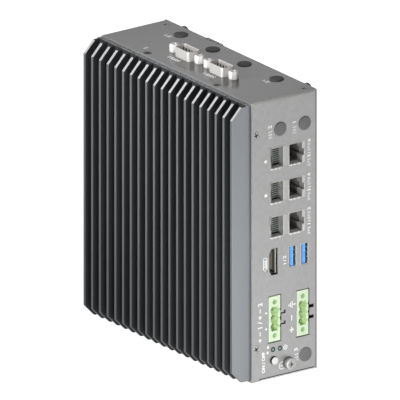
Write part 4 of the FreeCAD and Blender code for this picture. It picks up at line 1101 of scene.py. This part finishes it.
# a post's profile is (radius, height, whether it is six-sided)
serial = {
    "x": 17.5, "backs": (54.6, 88.5), "postReach": 12.5, "pinPitch": 2.77, "rowPitch": 2.84, "lift": 1.8,
    "pin": [(0, -4.2), (0.5, -4.2), (0.5, 4.2), (0.42, 4.55), (0.2, 4.75), (0, 4.8)],
    "post": [(1.6, -4.2, 0), (1.6, 0.0, 0), (2.576, 0.0, 1), (2.968, 0.35, 1), (2.968, 4.5, 1),
             (2.632, 5.0, 1), (0.95, 5.0, 0), (0.85, 4.7, 0), (0.85, 0.6, 0)],
}


def postTemplate():
    sides = 48
    loops = []
    for radius, height, sixSided in serial["post"]:
        loop = []
        for i in range(sides):
            a = 2 * math.pi * i / sides
            flat = math.cos(math.pi / 6) / math.cos((a + math.pi / 6) % (math.pi / 3) - math.pi / 6)
            reach = radius * flat if sixSided else radius
            loop.append((reach * math.cos(a), reach * math.sin(a), height))
        loops.append(loop)
    bm = bmesh.new()
    addLoops(bm, loops)
    return meshPiece("postTemplate", bm)


def makeSerial():
    s = serial
    for i in (1, 2):
        carried(cadPiece("serialShell%d" % i, "serial_shell_%d" % i, "nickel", 0.2, 3), "serial_shell_%d" % i)
        piece = cadPiece("serialBody%d" % i, "serial_insert_%d" % i, "serialBody", 0.1)
        top = max(vertex.co.z for vertex in piece.data.vertices)
        for vertex in piece.data.vertices:
            if vertex.co.z > top - 0.5 * mm:
                vertex.co.z += s["lift"] * mm
        carried(piece, "serial_insert_%d" % i)
    x = across(s["x"])
    pinSpots, postSpots = [], []
    for back in s["backs"]:
        for side, count in ((1, 5), (-1, 4)):
            first = behind(back) - (count - 1) / 2 * s["pinPitch"]
            pinSpots += [onTop(x + side * s["rowPitch"] / 2, first + i * s["pinPitch"]) for i in range(count)]
        postSpots += [onTop(x, behind(back) + side * s["postReach"]) for side in (-1, 1)]
    # the pins take the dark steel instead of their gold: painted shade inside the shell
    carried(copiesAt("serialPins", turned("pinTemplate", s["pin"], 16), pinSpots, "darkSteel"), "serial_pins")
    posts = copiesAt("serialPosts", postTemplate(), postSpots, "post")
    # the posts' upward faces take a darker tone than their sides: painted shade
    repainted(posts, "trayEdge", lambda middle, out: out.z > 0.6 and middle.z > topZ + 4)
    carried(posts, "serial_posts")


makeSerial()
print("serial ports made")

stage = {
    "floorSize": 6.0, "roomLevel": 0.36, "floorColour": 0.45, "floorGlow": 1.0,
    "front": {"place": (-0.12, -0.42, 0.02), "target": (0, -0.07, 0.02), "size": (0.3, 0.1), "power": 0.5,
              "spread": 150},
    "low": {"place": (-0.12, -0.27, 0.008), "target": (0, -0.07, 0.0), "size": (0.2, 0.012), "power": 0.34,
            "spread": 180},
    "side": {"place": (-0.3, 0.0, 0.27), "target": (-0.03, 0, 0.2), "size": (0.1, 0.2), "power": 0.25,
             "spread": 80},
    "sheen": {"place": (0.42, 0.58, 0.44), "target": (-0.01, -0.02, 0.172), "size": (0.15, 0.1),
              "power": 0.016, "spread": 120},
    "back": {"place": (-0.42, 0.92, 0.74), "target": (0, 0, 0.1), "size": (1.0, 1.0), "power": 1.3,
             "spread": 180},
}
view = {"turn": 35.747, "rise": 19.421, "aim": (0, 0, 0.0881), "wide": 0.23238, "distance": 1.5, "farEnd": 20}


def seenDirectly(tree):
    # 1 where the floor is looked at or mirrored, 0 where it only lights the object
    path = addNode(tree, "ShaderNodeLightPath", (-900, 300))
    first = addNode(tree, "ShaderNodeMath", (-700, 300), operation="MAXIMUM")
    second = addNode(tree, "ShaderNodeMath", (-520, 300), operation="MAXIMUM")
    join(tree, (path, "Is Camera Ray", first, 0), (path, "Is Glossy Ray", first, 1), (first, 0, second, 0),
         (path, "Is Transmission Ray", second, 1))
    return second


def makeStage():
    world = bpy.data.worlds.new("softRoom")
    bpy.context.scene.world = world
    world.use_nodes = True
    background = world.node_tree.nodes["Background"]
    background.inputs["Color"].default_value = (1, 1, 1, 1)
    background.inputs["Strength"].default_value = stage["roomLevel"]

    half = stage["floorSize"] / 2
    mesh = bpy.data.meshes.new("floor")
    corners = [(-half, -half, 0), (half, -half, 0), (half, half, 0), (-half, half, 0)]
    mesh.from_pydata(corners, [], [(0, 1, 2, 3)])
    material, tree, shader = newMaterial("floorPaper", (stage["floorColour"],) * 3, 1.0, 0.0, 0.0)
    glow = addNode(tree, "ShaderNodeMath", (-250, -250), operation="MULTIPLY")
    glow.inputs[1].default_value = stage["floorGlow"]
    shader.inputs["Emission Color"].default_value = (1, 1, 1, 1)
    join(tree, (seenDirectly(tree), 0, glow, 0), (glow, 0, shader, "Emission Strength"))
    mesh.materials.append(material)
    linked("floor", mesh)


def makeLamp(name):
    facts = stage[name]
    lamp = bpy.data.lights.new(name + "Lamp", "AREA")
    lamp.shape = "RECTANGLE"
    lamp.size, lamp.size_y = facts["size"]
    lamp.energy = facts["power"]
    lamp.spread = math.radians(facts["spread"])
    holder = linked(name + "Lamp", lamp)
    holder.location = facts["place"]
    away = Vector(facts["target"]) - Vector(facts["place"])
    holder.rotation_euler = away.to_track_quat("-Z", "Y").to_euler()


def makeCamera():
    turn, rise = math.radians(view["turn"]), math.radians(view["rise"])
    away = Vector((-math.sin(turn) * math.cos(rise), -math.cos(turn) * math.cos(rise), math.sin(rise)))
    lens = bpy.data.cameras.new("view")
    lens.type = "ORTHO"
    lens.ortho_scale = view["wide"]
    lens.clip_end = view["farEnd"]
    camera = linked("view", lens)
    camera.location = Vector(view["aim"]) + away * view["distance"]
    camera.rotation_euler = (-away).to_track_quat("-Z", "Y").to_euler()
    bpy.context.scene.camera = camera


makeStage()
for name in ("front", "low", "side", "sheen", "back"):
    makeLamp(name)
makeCamera()
bpy.context.scene.view_settings.view_transform = "Standard"
print("stage set")
